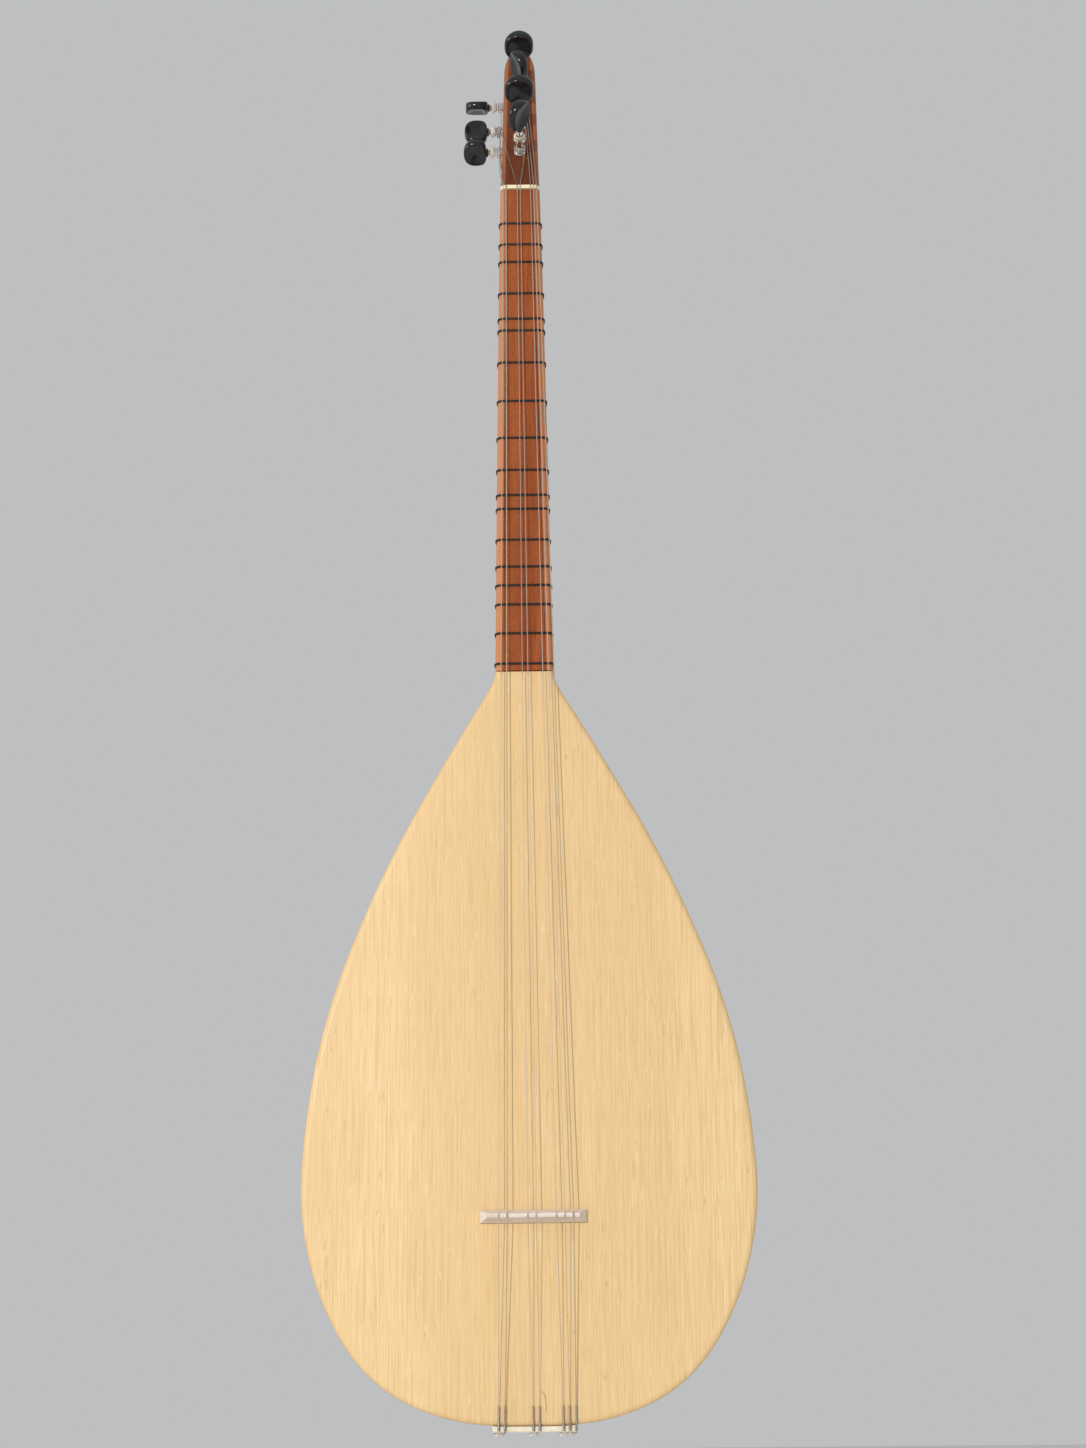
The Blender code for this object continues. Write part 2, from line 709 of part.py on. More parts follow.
def spindle_profile(row, place):
    """Radius and height of the chrome spindle, from its inner end outwards."""
    front = row == "front"
    inner = -(head_thickness(place) + SHAFT_BACK_STAND) if front else -SIDE_SHAFT_LENGTH
    drum_end = GAP + (FRONT_DRUM_LENGTH if front else SIDE_DRUM_LENGTH)
    neck = FRONT_NECK_LENGTH if front else SIDE_NECK_LENGTH
    flare_start = drum_end - (FRONT_FLARE if front else SIDE_FLARE)
    foot_end = GAP + (FRONT_FOOT_HEIGHT if front else SIDE_FOOT_HEIGHT)
    flange_end = drum_end + FLANGE_HEIGHT
    washer_end = flange_end + 2 * GAP + WASHER_THICKNESS
    stub_start = flange_end + neck
    return [
        (0, inner), (SHAFT_RADIUS - SHAFT_CHAMFER, inner), (SHAFT_RADIUS, inner + SHAFT_CHAMFER),
        (SHAFT_RADIUS, GAP), (FOOT_RADIUS, GAP), (FOOT_RADIUS, foot_end),
        (DRUM_RADIUS, foot_end + DRUM_FILLET), (DRUM_RADIUS, flare_start),
        (FLANGE_RADIUS, drum_end), (FLANGE_RADIUS, flange_end),
        (STEM_RADIUS, flange_end), (STEM_RADIUS, washer_end),
        (BEAD_RADIUS, washer_end + BEAD_SLOPE), (BEAD_RADIUS, stub_start - BEAD_SLOPE),
        (STUB_RADIUS, stub_start), (STUB_RADIUS, stub_start + STUB_LENGTH),
        (0, stub_start + STUB_LENGTH),
    ]


def button_base(row):
    """Height at which the button begins on its spindle."""
    if row == "front":
        return GAP + FRONT_DRUM_LENGTH + FLANGE_HEIGHT + FRONT_NECK_LENGTH + GAP
    return GAP + SIDE_DRUM_LENGTH + FLANGE_HEIGHT + SIDE_NECK_LENGTH + GAP


def washer_base(row):
    """Height at which the washer begins, just over the flange."""
    drum = FRONT_DRUM_LENGTH if row == "front" else SIDE_DRUM_LENGTH
    return GAP + drum + FLANGE_HEIGHT + GAP


def button_mesh(name, base, length, collar):
    """The dished button: a rounded plate with thick rims, in the XZ plane over its base."""
    sides = 18
    half_length = (length - collar) / 2
    centre = base + length - half_length
    dish, rim = BUTTON_DISH_THICKNESS / 2, BUTTON_RIM_THICKNESS / 2
    rows = [(0.38, dish * 1.12), (0.72, dish + (rim - dish) * 0.55), (0.88, rim), (1.0, rim * 0.62)]
    rows = [*rows, *[(share, -thick) for share, thick in reversed(rows)]]
    points = [(0.0, dish, centre)]
    for share, thick in rows:
        for side in range(sides):
            angle = 2 * math.pi * side / sides
            across, along = math.cos(angle), math.sin(angle)
            power = 2 / BUTTON_SQUARENESS
            x = math.copysign(abs(across) ** power, across) * BUTTON_WIDTH / 2 * share
            z = math.copysign(abs(along) ** power, along) * half_length * share
            points.append((x, thick, centre + z))
    points.append((0.0, -dish, centre))
    last = len(points) - 1
    faces = []
    for side in range(sides):
        after = (side + 1) % sides
        faces.append((0, 1 + side, 1 + after))
        for row in range(len(rows) - 1):
            low, high = 1 + row * sides, 1 + (row + 1) * sides
            faces.append((low + side, high + side, high + after, low + after))
        end = 1 + (len(rows) - 1) * sides
        faces.append((last, end + after, end + side))
    return mesh_from(name, points, faces)


def build_tuner(row, number, place, turn):
    """One tuner: spindle, washer and button on a shared axis."""
    frame = tuner_frame(row, number, place)
    name = f"{row}_spindle_{number}"
    add_object(name, turned(name, spindle_profile(row, place), 12), "chrome", frame)
    name = f"{row}_washer_{number}"
    low = washer_base(row)
    ring = turned_ring(name, STEM_RADIUS + GAP, WASHER_RADIUS, low, low + WASHER_THICKNESS, 12)
    add_object(name, ring, "cream_plastic", frame)
    name = f"{row}_button_{number}"
    base = button_base(row)
    front = row == "front"
    length = FRONT_BUTTON_LENGTH if front else SIDE_BUTTON_LENGTH
    collar_length = FRONT_BUTTON_COLLAR if front else SIDE_BUTTON_COLLAR
    button = add_object(name, button_mesh(name, base, length, collar_length), "black_plastic", frame)
    collar_top = base + collar_length + BUTTON_COLLAR_RADIUS
    flare = BUTTON_COLLAR_FLARE
    profile = [(0, base), (BUTTON_COLLAR_RADIUS - flare, base), (BUTTON_COLLAR_RADIUS, base + flare),
               (BUTTON_COLLAR_RADIUS + flare, collar_top), (0, collar_top)]
    collar = helper(name + "_collar_stock", turned(name + "_collar", profile, 12), frame)
    bore_top = base + STUB_LENGTH
    bore_foot = base - BUTTON_COLLAR_RADIUS
    bore_profile = [(0, bore_foot), (STUB_RADIUS + GAP, bore_foot), (STUB_RADIUS + GAP, bore_top), (0, bore_top)]
    bore = helper(name + "_bore_cutter", turned(name + "_bore", bore_profile, 12), frame)
    boolean(button, "UNION", collar)
    boolean(button, "DIFFERENCE", bore)
    for item in (button, collar, bore):
        item.rotation_euler.z = math.radians(turn)


# Body

def build_soundboard():
    """The flat soundboard, with its edge rounded over except at the neck."""
    places = [OUTLINE_END * row / SOUNDBOARD_ROWS for row in range(SOUNDBOARD_ROWS + 1)]
    steps = 3
    levels = [(SOUNDBOARD_EDGE * (1 - math.sin(math.pi / 2 * step / steps)),
               SOUNDBOARD_EDGE * (1 - math.cos(math.pi / 2 * step / steps))) for step in range(steps + 1)]
    levels.append((0.0, SOUNDBOARD_THICKNESS))
    rings = []
    for inset, depth in levels:
        right = []
        for place in places:
            point = bowl_point(place, 0.0, inset) if place < OUTLINE_END else Vector((0.0, 0.0, inset))
            right.append(Vector((max(point.x, 0.0), depth, point.z)))
        left = [Vector((-point.x, point.y, point.z)) for point in reversed(right[:-1])]
        rings.append(right + left)
    add_object("soundboard", loft("soundboard", rings), "spruce")


def build_stave(number):
    """One stave of the bowl, bent along its length and nearly flat across."""
    rows, columns = STAVE_ROWS, STAVE_COLUMNS
    first, last = math.pi * number / STAVE_COUNT, math.pi * (number + 1) / STAVE_COUNT
    grids = []
    for inset in (0.0, STAVE_THICKNESS):
        for place in STAVE_PLACES:
            half_width = outline(place).x
            edges = []
            for angle, way in ((first, 1), (last, -1)):
                reach = Vector((half_width * math.sin(angle), bowl_depth(half_width) * math.cos(angle))).length
                at_rim = angle < 1e-6 or angle > math.pi - 1e-6
                edges.append(angle if at_rim else angle + way * GAP / 2 / reach)
            for column in range(columns + 1):
                angle = edges[0] + (edges[1] - edges[0]) * column / columns
                grids.append(bowl_point(place, angle, inset))
    wide = columns + 1
    count = wide * (rows + 1)
    faces = []
    for row in range(rows):
        for column in range(columns):
            one = row * wide + column
            quad = (one, one + 1, one + wide + 1, one + wide)
            faces.append(quad)
            faces.append(tuple(count + corner for corner in reversed(quad)))
        for column in (0, columns):
            one = row * wide + column
            faces.append((one, one + wide, count + one + wide, count + one))
    for row in (0, rows):
        for column in range(columns):
            one = row * wide + column
            faces.append((one, one + 1, count + one + 1, count + one))
    name = f"stave_{number + 1}"
    finish = "mahogany" if number % 2 == 0 else "walnut"
    return add_object(name, mesh_from(name, grids, faces, 25.0), finish)


def build_bowl():
    """All staves, with the small sound hole in the middle one."""
    staves = [build_stave(number) for number in range(STAVE_COUNT)]
    place = place_of_width(SOUND_HOLE_PLACE)
    outer = bowl_point(place, math.pi / 2, -SOUND_HOLE_REACH)
    inner = bowl_point(place, math.pi / 2, SOUND_HOLE_REACH)
    cutter = rod_between("sound_hole_cutter", outer, inner, SOUND_HOLE_RADIUS, 20)
    boolean(staves[STAVE_COUNT // 2], "DIFFERENCE", cutter)


def build_tail_block():
    """The block inside the tail that the stave tips are glued to."""
    inset = STAVE_THICKNESS + GAP
    start = row_where(lambda row: facet_point(min(row, STAVE_ROWS), 0.0, inset).x, TAIL_BLOCK_RADIUS)
    rows = [*range(STAVE_ROWS, math.floor(start), -1), start]
    rings, steps = len(rows), BACK_STEPS
    points = [Vector((0.0, RIM_Y, inset))]
    for row in rows:
        points += [facet_point(row, math.pi * step / steps, inset) for step in range(steps + 1)]
    wide = steps + 1
    outer = 1 + (rings - 1) * wide
    top = len(points)
    points += [Vector((point.x, point.y, TAIL_BLOCK_HEIGHT)) for point in points[outer:outer + wide]]
    faces = []
    for step in range(steps):
        faces.append((0, 1 + step, 2 + step))
        for ring in range(rings - 1):
            low = 1 + ring * wide + step
            faces.append((low, low + wide, low + wide + 1, low + 1))
        faces.append((outer + step, top + step, top + step + 1, outer + step + 1))
    faces.append(tuple(range(top, top + wide)))
    right = [1 + ring * wide for ring in range(rings)]
    left = [1 + ring * wide + steps for ring in range(rings)]
    faces.append((0, *right, top, top + steps, *reversed(left)))
    add_object("tail_block", mesh_from("tail_block", points, faces), "block_wood")


def build_neck():
    """The neck with its heel block inside the bowl and the slot for the head's tongue."""
    top, foot = NUT_Z - GAP, BODY_LENGTH + GAP
    rings = []
    for step in range(7):
        height = top + (foot - top) * step / 6
        rings.append([Vector((x, y, height)) for x, y, _, _ in neck_outline(height)])
    inset = STAVE_THICKNESS + GAP
    end = row_where(lambda row: facet_point(row, 0.0, inset).z, BODY_LENGTH - HEEL_LENGTH)
    rings.append([Vector((point.x, point.y, foot)) for point in heel_ring(0, inset)])
    rings += [heel_ring(row, inset) for row in [*range(math.ceil(end)), end]]
    floor = min(point.z for point in rings[-1]) - GAP
    rings.append([Vector((point.x, point.y, floor)) for point in rings[-1]])
    neck = add_object("neck", loft("neck", rings), "mahogany")
    half, low = TONGUE_WIDTH / 2 + GAP, NUT_Z - TONGUE_LENGTH - GAP
    slot = box_helper("tongue_slot_cutter", (-half, TONGUE_INSET - GAP, low),
                      (half, TONGUE_INSET + TONGUE_DEPTH + GAP, NUT_Z + TONGUE_LENGTH))
    boolean(neck, "DIFFERENCE", slot)


def build_head():
    """The tilted head with its tongue, the nut's seat and the bores for the tuners."""
    root = [Vector((x, y, NUT_Z)) for x, y, _, _ in neck_outline(NUT_Z)]
    above = [Vector((x, y, HEAD_ROOT.z)) for x, y, _, _ in neck_outline(NUT_Z)]
    tip = HEAD_LENGTH - HEAD_TIP_ROUND
    rings = [root, above, head_ring(HEAD_BLEND, 0.0)]
    start = HEAD_LENGTH - HEAD_TAPER_LENGTH
    rings += [head_ring(start + (tip - start) * step / HEAD_TIP_STEPS, 0.0) for step in range(HEAD_TIP_STEPS + 1)]
    rings.append(head_ring(HEAD_LENGTH - HEAD_TIP_ROUND * 0.3, HEAD_TIP_ROUND * 0.3))
    rings.append(head_ring(HEAD_LENGTH, HEAD_TIP_ROUND))
    head = add_object("head", loft("head", rings), "dark_mahogany")
    tongue = box_helper("tongue_stock", (-TONGUE_WIDTH / 2, TONGUE_INSET, NUT_Z - TONGUE_LENGTH),
                        (TONGUE_WIDTH / 2, TONGUE_INSET + TONGUE_DEPTH, NUT_Z + NUT_THICKNESS + GAP))
    boolean(head, "UNION", tongue)
    seat = box_helper("nut_seat_cutter", (-NECK_NUT_WIDTH, -NUT_SEAT, NUT_Z - NUT_THICKNESS),
                      (NECK_NUT_WIDTH, NUT_SEAT + GAP, NUT_Z + NUT_THICKNESS + GAP))
    boolean(head, "DIFFERENCE", seat)
    for row, number, place, _ in tuner_layout():
        base, out = tuner_axis(row, place)
        deep = 2 * head_thickness(place) if row == "front" else SIDE_SHAFT_LENGTH + GAP
        cutter = rod_between(f"{row}_bore_cutter_{number}", base - out * deep, base + out * head_half(place),
                             SHAFT_RADIUS + SHAFT_CLEARANCE, 12)
        boolean(head, "DIFFERENCE", cutter)


def string_slots(item, name, y, low, high, places):
    """Cut a round-bottomed slot for each string through a piece."""
    for index, x in enumerate(places):
        cutter = rod_between(f"{name}_slot_cutter_{index + 1}", (x, y, low), (x, y, high),
                             string_radius(index) + GAP, 8)
        boolean(item, "DIFFERENCE", cutter)


def build_nut():
    """The bone nut, whose ends follow the neck's rounded edges."""
    section = []
    steps = 4
    for step in range(steps + 1):
        turn = math.pi / 2 * step / steps
        section.append((HALF_NUT - NUT_CORNER + NUT_CORNER * math.sin(turn),
                        -NUT_HEIGHT + NUT_CORNER - NUT_CORNER * math.cos(turn)))
    section.append((HALF_NUT, NUT_SEAT))
    section += [(-x, y) for x, y in reversed(section)]
    rings = [[Vector((x, y, height)) for x, y in section] for height in (NUT_Z, NUT_Z + NUT_THICKNESS)]
    nut = add_object("nut", loft("nut", rings), "bone")
    places = [place[0] for place in string_places()]
    string_slots(nut, "nut", NUT_STRING_Y, NUT_Z - NUT_THICKNESS, NUT_Z + 2 * NUT_THICKNESS, places)


def build_bridge():
    """The loose bridge: a low bar with a hipped top, held by the strings."""
    levels = [(GAP, BRIDGE_LENGTH, BRIDGE_WIDTH), (BRIDGE_STEP, BRIDGE_LENGTH, BRIDGE_WIDTH),
              (BRIDGE_HEIGHT, BRIDGE_RIDGE_LENGTH, BRIDGE_RIDGE_WIDTH)]
    rings = []
    for height, length, width in levels:
        corners = ((-1, -1), (1, -1), (1, 1), (-1, 1))
        rings.append([Vector((BRIDGE_OFFSET + side * length / 2, -height, BRIDGE_Z + end * width / 2))
                      for side, end in corners])
    bridge = add_object("bridge", loft("bridge", rings, 20.0), "pale_wood")
    places = [place[1] for place in string_places()]
    string_slots(bridge, "bridge", BRIDGE_STRING_Y, BRIDGE_Z - BRIDGE_WIDTH, BRIDGE_Z + BRIDGE_WIDTH, places)


def build_tailpiece():
    """The bone rest under the tail, shaped to the stave tips, with its hitch pins."""
    columns, rows = 8, 4
    xs = [TAILPIECE_OFFSET - TAILPIECE_WIDTH / 2 + TAILPIECE_WIDTH * step / columns for step in range(columns + 1)]
    ys = [TAILPIECE_FRONT + (TAILPIECE_BACK - TAILPIECE_FRONT) * step / rows for step in range(rows + 1)]
    points = [Vector((x, y, bowl_height(x, y - RIM_Y) - GAP)) for y in ys for x in xs]
    wide = columns + 1
    faces = []
    for row in range(rows):
        for column in range(columns):
            one = row * wide + column
            faces.append((one, one + 1, one + wide + 1, one + wide))
    border = ([column for column in range(wide)] + [row * wide + columns for row in range(1, rows + 1)]
              + [rows * wide + column for column in range(columns - 1, -1, -1)]
              + [row * wide for row in range(rows - 1, 0, -1)])
    middle_x, middle_y = TAILPIECE_OFFSET, (TAILPIECE_FRONT + TAILPIECE_BACK) / 2
    previous = border
    for height, inset in ((-(TAILPIECE_DROP - TAILPIECE_EDGE), 0.0), (-TAILPIECE_DROP, TAILPIECE_EDGE)):
        ring = []
        for corner in border:
            point = points[corner]
            half_x, half_y = TAILPIECE_WIDTH / 2, (TAILPIECE_BACK - TAILPIECE_FRONT) / 2
            x = middle_x + (point.x - middle_x) * (half_x - inset) / half_x
            y = middle_y + (point.y - middle_y) * (half_y - inset) / half_y
            ring.append(len(points))
            points.append(Vector((x, y, height)))
        for step in range(len(border)):
            after = (step + 1) % len(border)
            faces.append((previous[step], previous[after], ring[after], ring[step]))
        previous = ring
    faces.append(tuple(previous))
    tailpiece = add_object("tailpiece", mesh_from("tailpiece", points, faces), "bone")
    for index, (_, _, x, number) in enumerate(string_places()):
        y = PIN_ROW + PIN_ROW_STEP * number
        pin = rod_between(f"pin_stock_{index + 1}", (x - HOOK_LOOP, y, -TAILPIECE_DROP + PIN_RADIUS),
                          (x - HOOK_LOOP, y, -TAILPIECE_DROP - PIN_LENGTH), PIN_RADIUS, 8)
        boolean(tailpiece, "UNION", pin)


def fret_height(cents):
    """Height of a fret that sounds this many cents above the open string."""
    return NUT_Z - SCALE_LENGTH * (1 - 2 ** (-cents / 1200))


def build_fret(number, cents):
    """One tied fret: a band of nylon round the neck."""
    height = fret_height(cents)
    profile = [(GAP, -0.40), (GAP, 0.40), (GAP + FRET_HEIGHT * 0.6, 0.5),
               (GAP + FRET_HEIGHT, 0.0), (GAP + FRET_HEIGHT * 0.6, -0.5)]
    section = neck_outline(height)
    points = []
    for x, y, out_x, out_y in section:
        for away, along in profile:
            points.append(Vector((x + out_x * away, y + out_y * away, along * FRET_WIDTH)))
    wide, count = len(profile), len(section)
    faces = []
    for step in range(count):
        low, high = step * wide, (step + 1) % count * wide
        for side in range(wide):
            after = (side + 1) % wide
            faces.append((low + side, low + after, high + after, high + side))
    name = f"fret_{number:02d}"
    fret = add_object(name, mesh_from(name, points, faces), "nylon")
    fret.location.z = height


def string_pegs():
    """The tuner of each string, from left to right at the nut."""
    side = [("side", place) for place in SIDE_TUNER_PLACES]
    front = [("front", place) for place in FRONT_TUNER_PLACES]
    return side + front


def build_strings():
    """Seven wires from tail loop to drum, with the least gap in each printed."""
    for index, peg in enumerate(string_pegs()):
        path = string_path(index, peg)
        wire(f"string_{index + 1}", path, "steel")
        print(f"string {index + 1}: least gap to itself {least_gap(path) * 1000:.2f} mm")


def move_origin_to_nut():
    """Lower everything, so that height 0 is the nut's lower edge and not the tail."""
    for item in bpy.data.objects:
        if item.parent is None:
            item.location.z -= NUT_Z


def main():
    clear_scene()
    build_soundboard()
    build_bowl()
    build_tail_block()
    build_neck()
    build_head()
    build_nut()
    build_bridge()
    build_tailpiece()
    for number, cents in enumerate(FRET_CENTS, start=1):
        build_fret(number, cents)
    build_strings()
    for row, number, place, turn in tuner_layout():
        build_tuner(row, number, place, turn)
    move_origin_to_nut()


main()
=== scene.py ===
"""Looks of the saz: finishes, fine surfaces, tied frets, turned tuners and the studio.

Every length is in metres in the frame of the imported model. Its origin is on the
front of the neck at the nut, +Z runs up the neck and the soundboard faces -Y.
"""
from __future__ import annotations

import json
import logging
import math
from collections.abc import Callable, Iterable, Sequence
from dataclasses import dataclass, field
from enum import Enum

import bmesh
import bpy
from mathutils import Matrix, Vector
from mathutils.kdtree import KDTree


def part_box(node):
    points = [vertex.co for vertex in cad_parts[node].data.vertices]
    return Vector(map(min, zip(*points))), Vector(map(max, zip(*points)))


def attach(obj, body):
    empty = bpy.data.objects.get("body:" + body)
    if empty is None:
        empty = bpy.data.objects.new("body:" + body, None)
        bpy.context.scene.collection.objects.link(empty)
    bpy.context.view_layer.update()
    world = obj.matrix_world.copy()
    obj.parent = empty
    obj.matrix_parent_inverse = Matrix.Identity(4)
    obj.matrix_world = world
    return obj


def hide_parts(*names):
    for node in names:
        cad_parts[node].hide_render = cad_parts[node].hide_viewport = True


LOG = logging.getLogger("saz")

Piece = bpy.types.Object
Material = bpy.types.Material
Socket = bpy.types.NodeSocket
Triple = tuple[float, float, float]
Colour = tuple[float, float, float]

MAIN_BODY = "instrument"
HEAD_TILT = math.radians(25.0)
SOFT_EDGE_ANGLE = math.radians(28.0)
STAVES, STRINGS, FRETS = 7, 7, 18


class TunerRow(Enum):
    """The two rows of tuners, by the side of the head that they stand on."""

    FRONT = "front"
    SIDE = "side"


TUNERS = {TunerRow.FRONT: 4, TunerRow.SIDE: 3}
TWO_DISC_TUNER = (TunerRow.SIDE, 1)
COLLAR_LENGTHS = {TunerRow.FRONT: 0.0027, TunerRow.SIDE: 0.0012}


class GrainSource(Enum):
    """Where a wood finish takes the direction of its grain from."""

    PLACE = "place"
    BENT = "bent"
    TILTED = "tilted"


# Meshes

def angles(count: int) -> list[float]:
    """Evenly spaced angles of one full turn."""
    return [2 * math.pi * step / count for step in range(count)]


def circle(radius: float, height: float, sides: int) -> list[Vector]:
    """Points of a level circle round +Z."""
    return [Vector((radius * math.cos(angle), radius * math.sin(angle), height))
            for angle in angles(sides)]


def mesh_piece(name: str, points: Iterable[Vector], faces: Sequence[Sequence[int]],
               smooth: float = 40.0) -> Piece:
    """Make a mesh object whose faces point outwards.

    Args:
        name: Name of the object and its mesh.
        points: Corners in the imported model's frame.
        faces: Corner numbers of each face.
        smooth: Edges sharper than this many degrees stay sharp.

    Returns:
        The new object, linked to the scene.
    """
    mesh = bpy.data.meshes.new(name)
    mesh.from_pydata([tuple(point) for point in points], [], [tuple(face) for face in faces])
    work = bmesh.new()
    work.from_mesh(mesh)
    bmesh.ops.recalc_face_normals(work, faces=work.faces)
    work.to_mesh(mesh)
    work.free()
    mesh.shade_smooth()
    mesh.set_sharp_from_angle(angle=math.radians(smooth))
    piece = bpy.data.objects.new(name, mesh)
    bpy.context.scene.collection.objects.link(piece)
    return piece


def grid_faces(rows: int, columns: int, closed: bool, start: int = 0) -> list[tuple[int, ...]]:
    """Faces of a grid of corners that is stored row by row.

    Args:
        rows: Number of corner rows.
        columns: Number of corners in a row.
        closed: Whether the last column joins the first.
        start: Number of the grid's first corner.

    Returns:
        The corner numbers of each face.
    """
    faces = []
    for row in range(rows - 1):
        for column in range(columns if closed else columns - 1):
            after = (column + 1) % columns
            low, high = start + row * columns, start + (row + 1) * columns
            faces.append((low + column, low + after, high + after, high + column))
    return faces


def lofted(name: str, rings: Sequence[Sequence[Vector]], smooth: float = 40.0,
           looped: bool = False, twist: int = 0) -> Piece:
    """Join closed rings of equal length into one closed piece.

    Args:
        name: Name of the piece.
        rings: The rings in order.
        smooth: Edges sharper than this many degrees stay sharp.
        looped: Whether the last ring joins the first; if not, both ends are flat faces.
        twist: Corners by which the first ring is turned against a last ring that joins it.

    Returns:
        The new piece.
    """
    count = len(rings[0])
    last = (len(rings) - 1) * count
    faces = grid_faces(len(rings), count, closed=True)
    if looped:
        faces += [(last + side, last + (side + 1) % count,
                   (side + 1 + twist) % count, (side + twist) % count) for side in range(count)]
    else:
        faces += [tuple(range(count)), tuple(range(last, last + count))]
    return mesh_piece(name, [point for ring in rings for point in ring], faces, smooth)


def turned(name: str, profile: Sequence[tuple[float, float]], frame: Matrix, sides: int = 48,
           hollow: bool = False) -> Piece:
    """Turn a profile about the frame's +Z.

    Args:
        name: Name of the piece.
        profile: Radius and height pairs.
        frame: Where the axis is and how it points.
        sides: Number of facets round the axis.
        hollow: Whether the profile closes round a bore; if not, its ends are flat faces.

    Returns:
        The new piece.
    """
    rings = [[frame @ point for point in circle(radius, height, sides)]
             for radius, height in profile]
    return lofted(name, rings, smooth=30.0, looped=hollow)


def tube(name: str, path: Sequence[Vector], radius: float, sides: int = 6,
         closed: bool = False) -> Piece:
    """Run a round wire along a path.

    Args:
        name: Name of the piece.
        path: Points along the middle of the wire.
        radius: Radius of the wire.
        sides: Number of facets round the wire.
        closed: Whether the wire's end meets its start.

    Returns:
        The new piece.
    """
    rings = []
    across = (path[1] - path[0]).orthogonal().normalized()
    for index, point in enumerate(path):
        after = path[(index + 1) % len(path)] if closed or index + 1 < len(path) else point
        before = path[index - 1] if closed or index else point
        along = (after - before).normalized()
        across = (across - along * across.dot(along)).normalized()
        beside = along.cross(across)
        rings.append([point + (across * math.cos(angle) + beside * math.sin(angle)) * radius
                      for angle in angles(sides)])
    twist = min(range(sides), key=lambda turn: (rings[-1][0] - rings[0][turn]).length)
    return lofted(name, rings, smooth=60.0, looped=closed, twist=twist)


def soften(piece: Piece, width: float) -> None:
    """Round a new piece's sharp edges by a small width.

    Args:
        piece: The piece.
        width: Width of the rounding.
    """
    bevel = piece.modifiers.new("soft_edges", "BEVEL")
    bevel.width = width
    bevel.segments = 2
    bevel.limit_method = "ANGLE"
    bevel.angle_limit = SOFT_EDGE_ANGLE


def node_points(node: str) -> list[Vector]:
    """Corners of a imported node's mesh, which is stored in the model's frame."""
    return [corner.co.copy() for corner in NODES[node].data.vertices]


def paint(piece: Piece, finish: Finish) -> None:
    """Give a piece one finish."""
    piece.data.materials.clear()
    piece.data.materials.append(finish.material())


def settle(piece: Piece, body: str, finish: Finish,
           replaces: Sequence[str] = ()) -> None:
    """Dress a new piece, let it ride on its body and log it.

    Args:
        piece: The piece in place.
        body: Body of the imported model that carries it.
        finish: The finish to dress it in.
        replaces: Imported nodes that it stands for.
    """
    paint(piece, finish)
    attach(piece, body)
    if replaces:
        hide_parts(*replaces)
    LOG.info("%s rides on %s", piece.name, body)


def dress(node: str, finish: Finish) -> None:
    """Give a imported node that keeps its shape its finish."""
    paint(NODES[node], finish)
    LOG.info("%s keeps its packed shape", node)


# Finishes

@dataclass(frozen=True)
class Layer:
    """A noise that lays a colour or wear over a finish.

    The scale is in waves per metre along each axis. The layer starts to show where the noise
    passes low, and reaches its strength at high.
    """

    scale: Triple
    low: float
    high: float
    strength: float = 1.0
    detail: float = 1.0
    rough: float = 0.5
    bend: float = 0.0


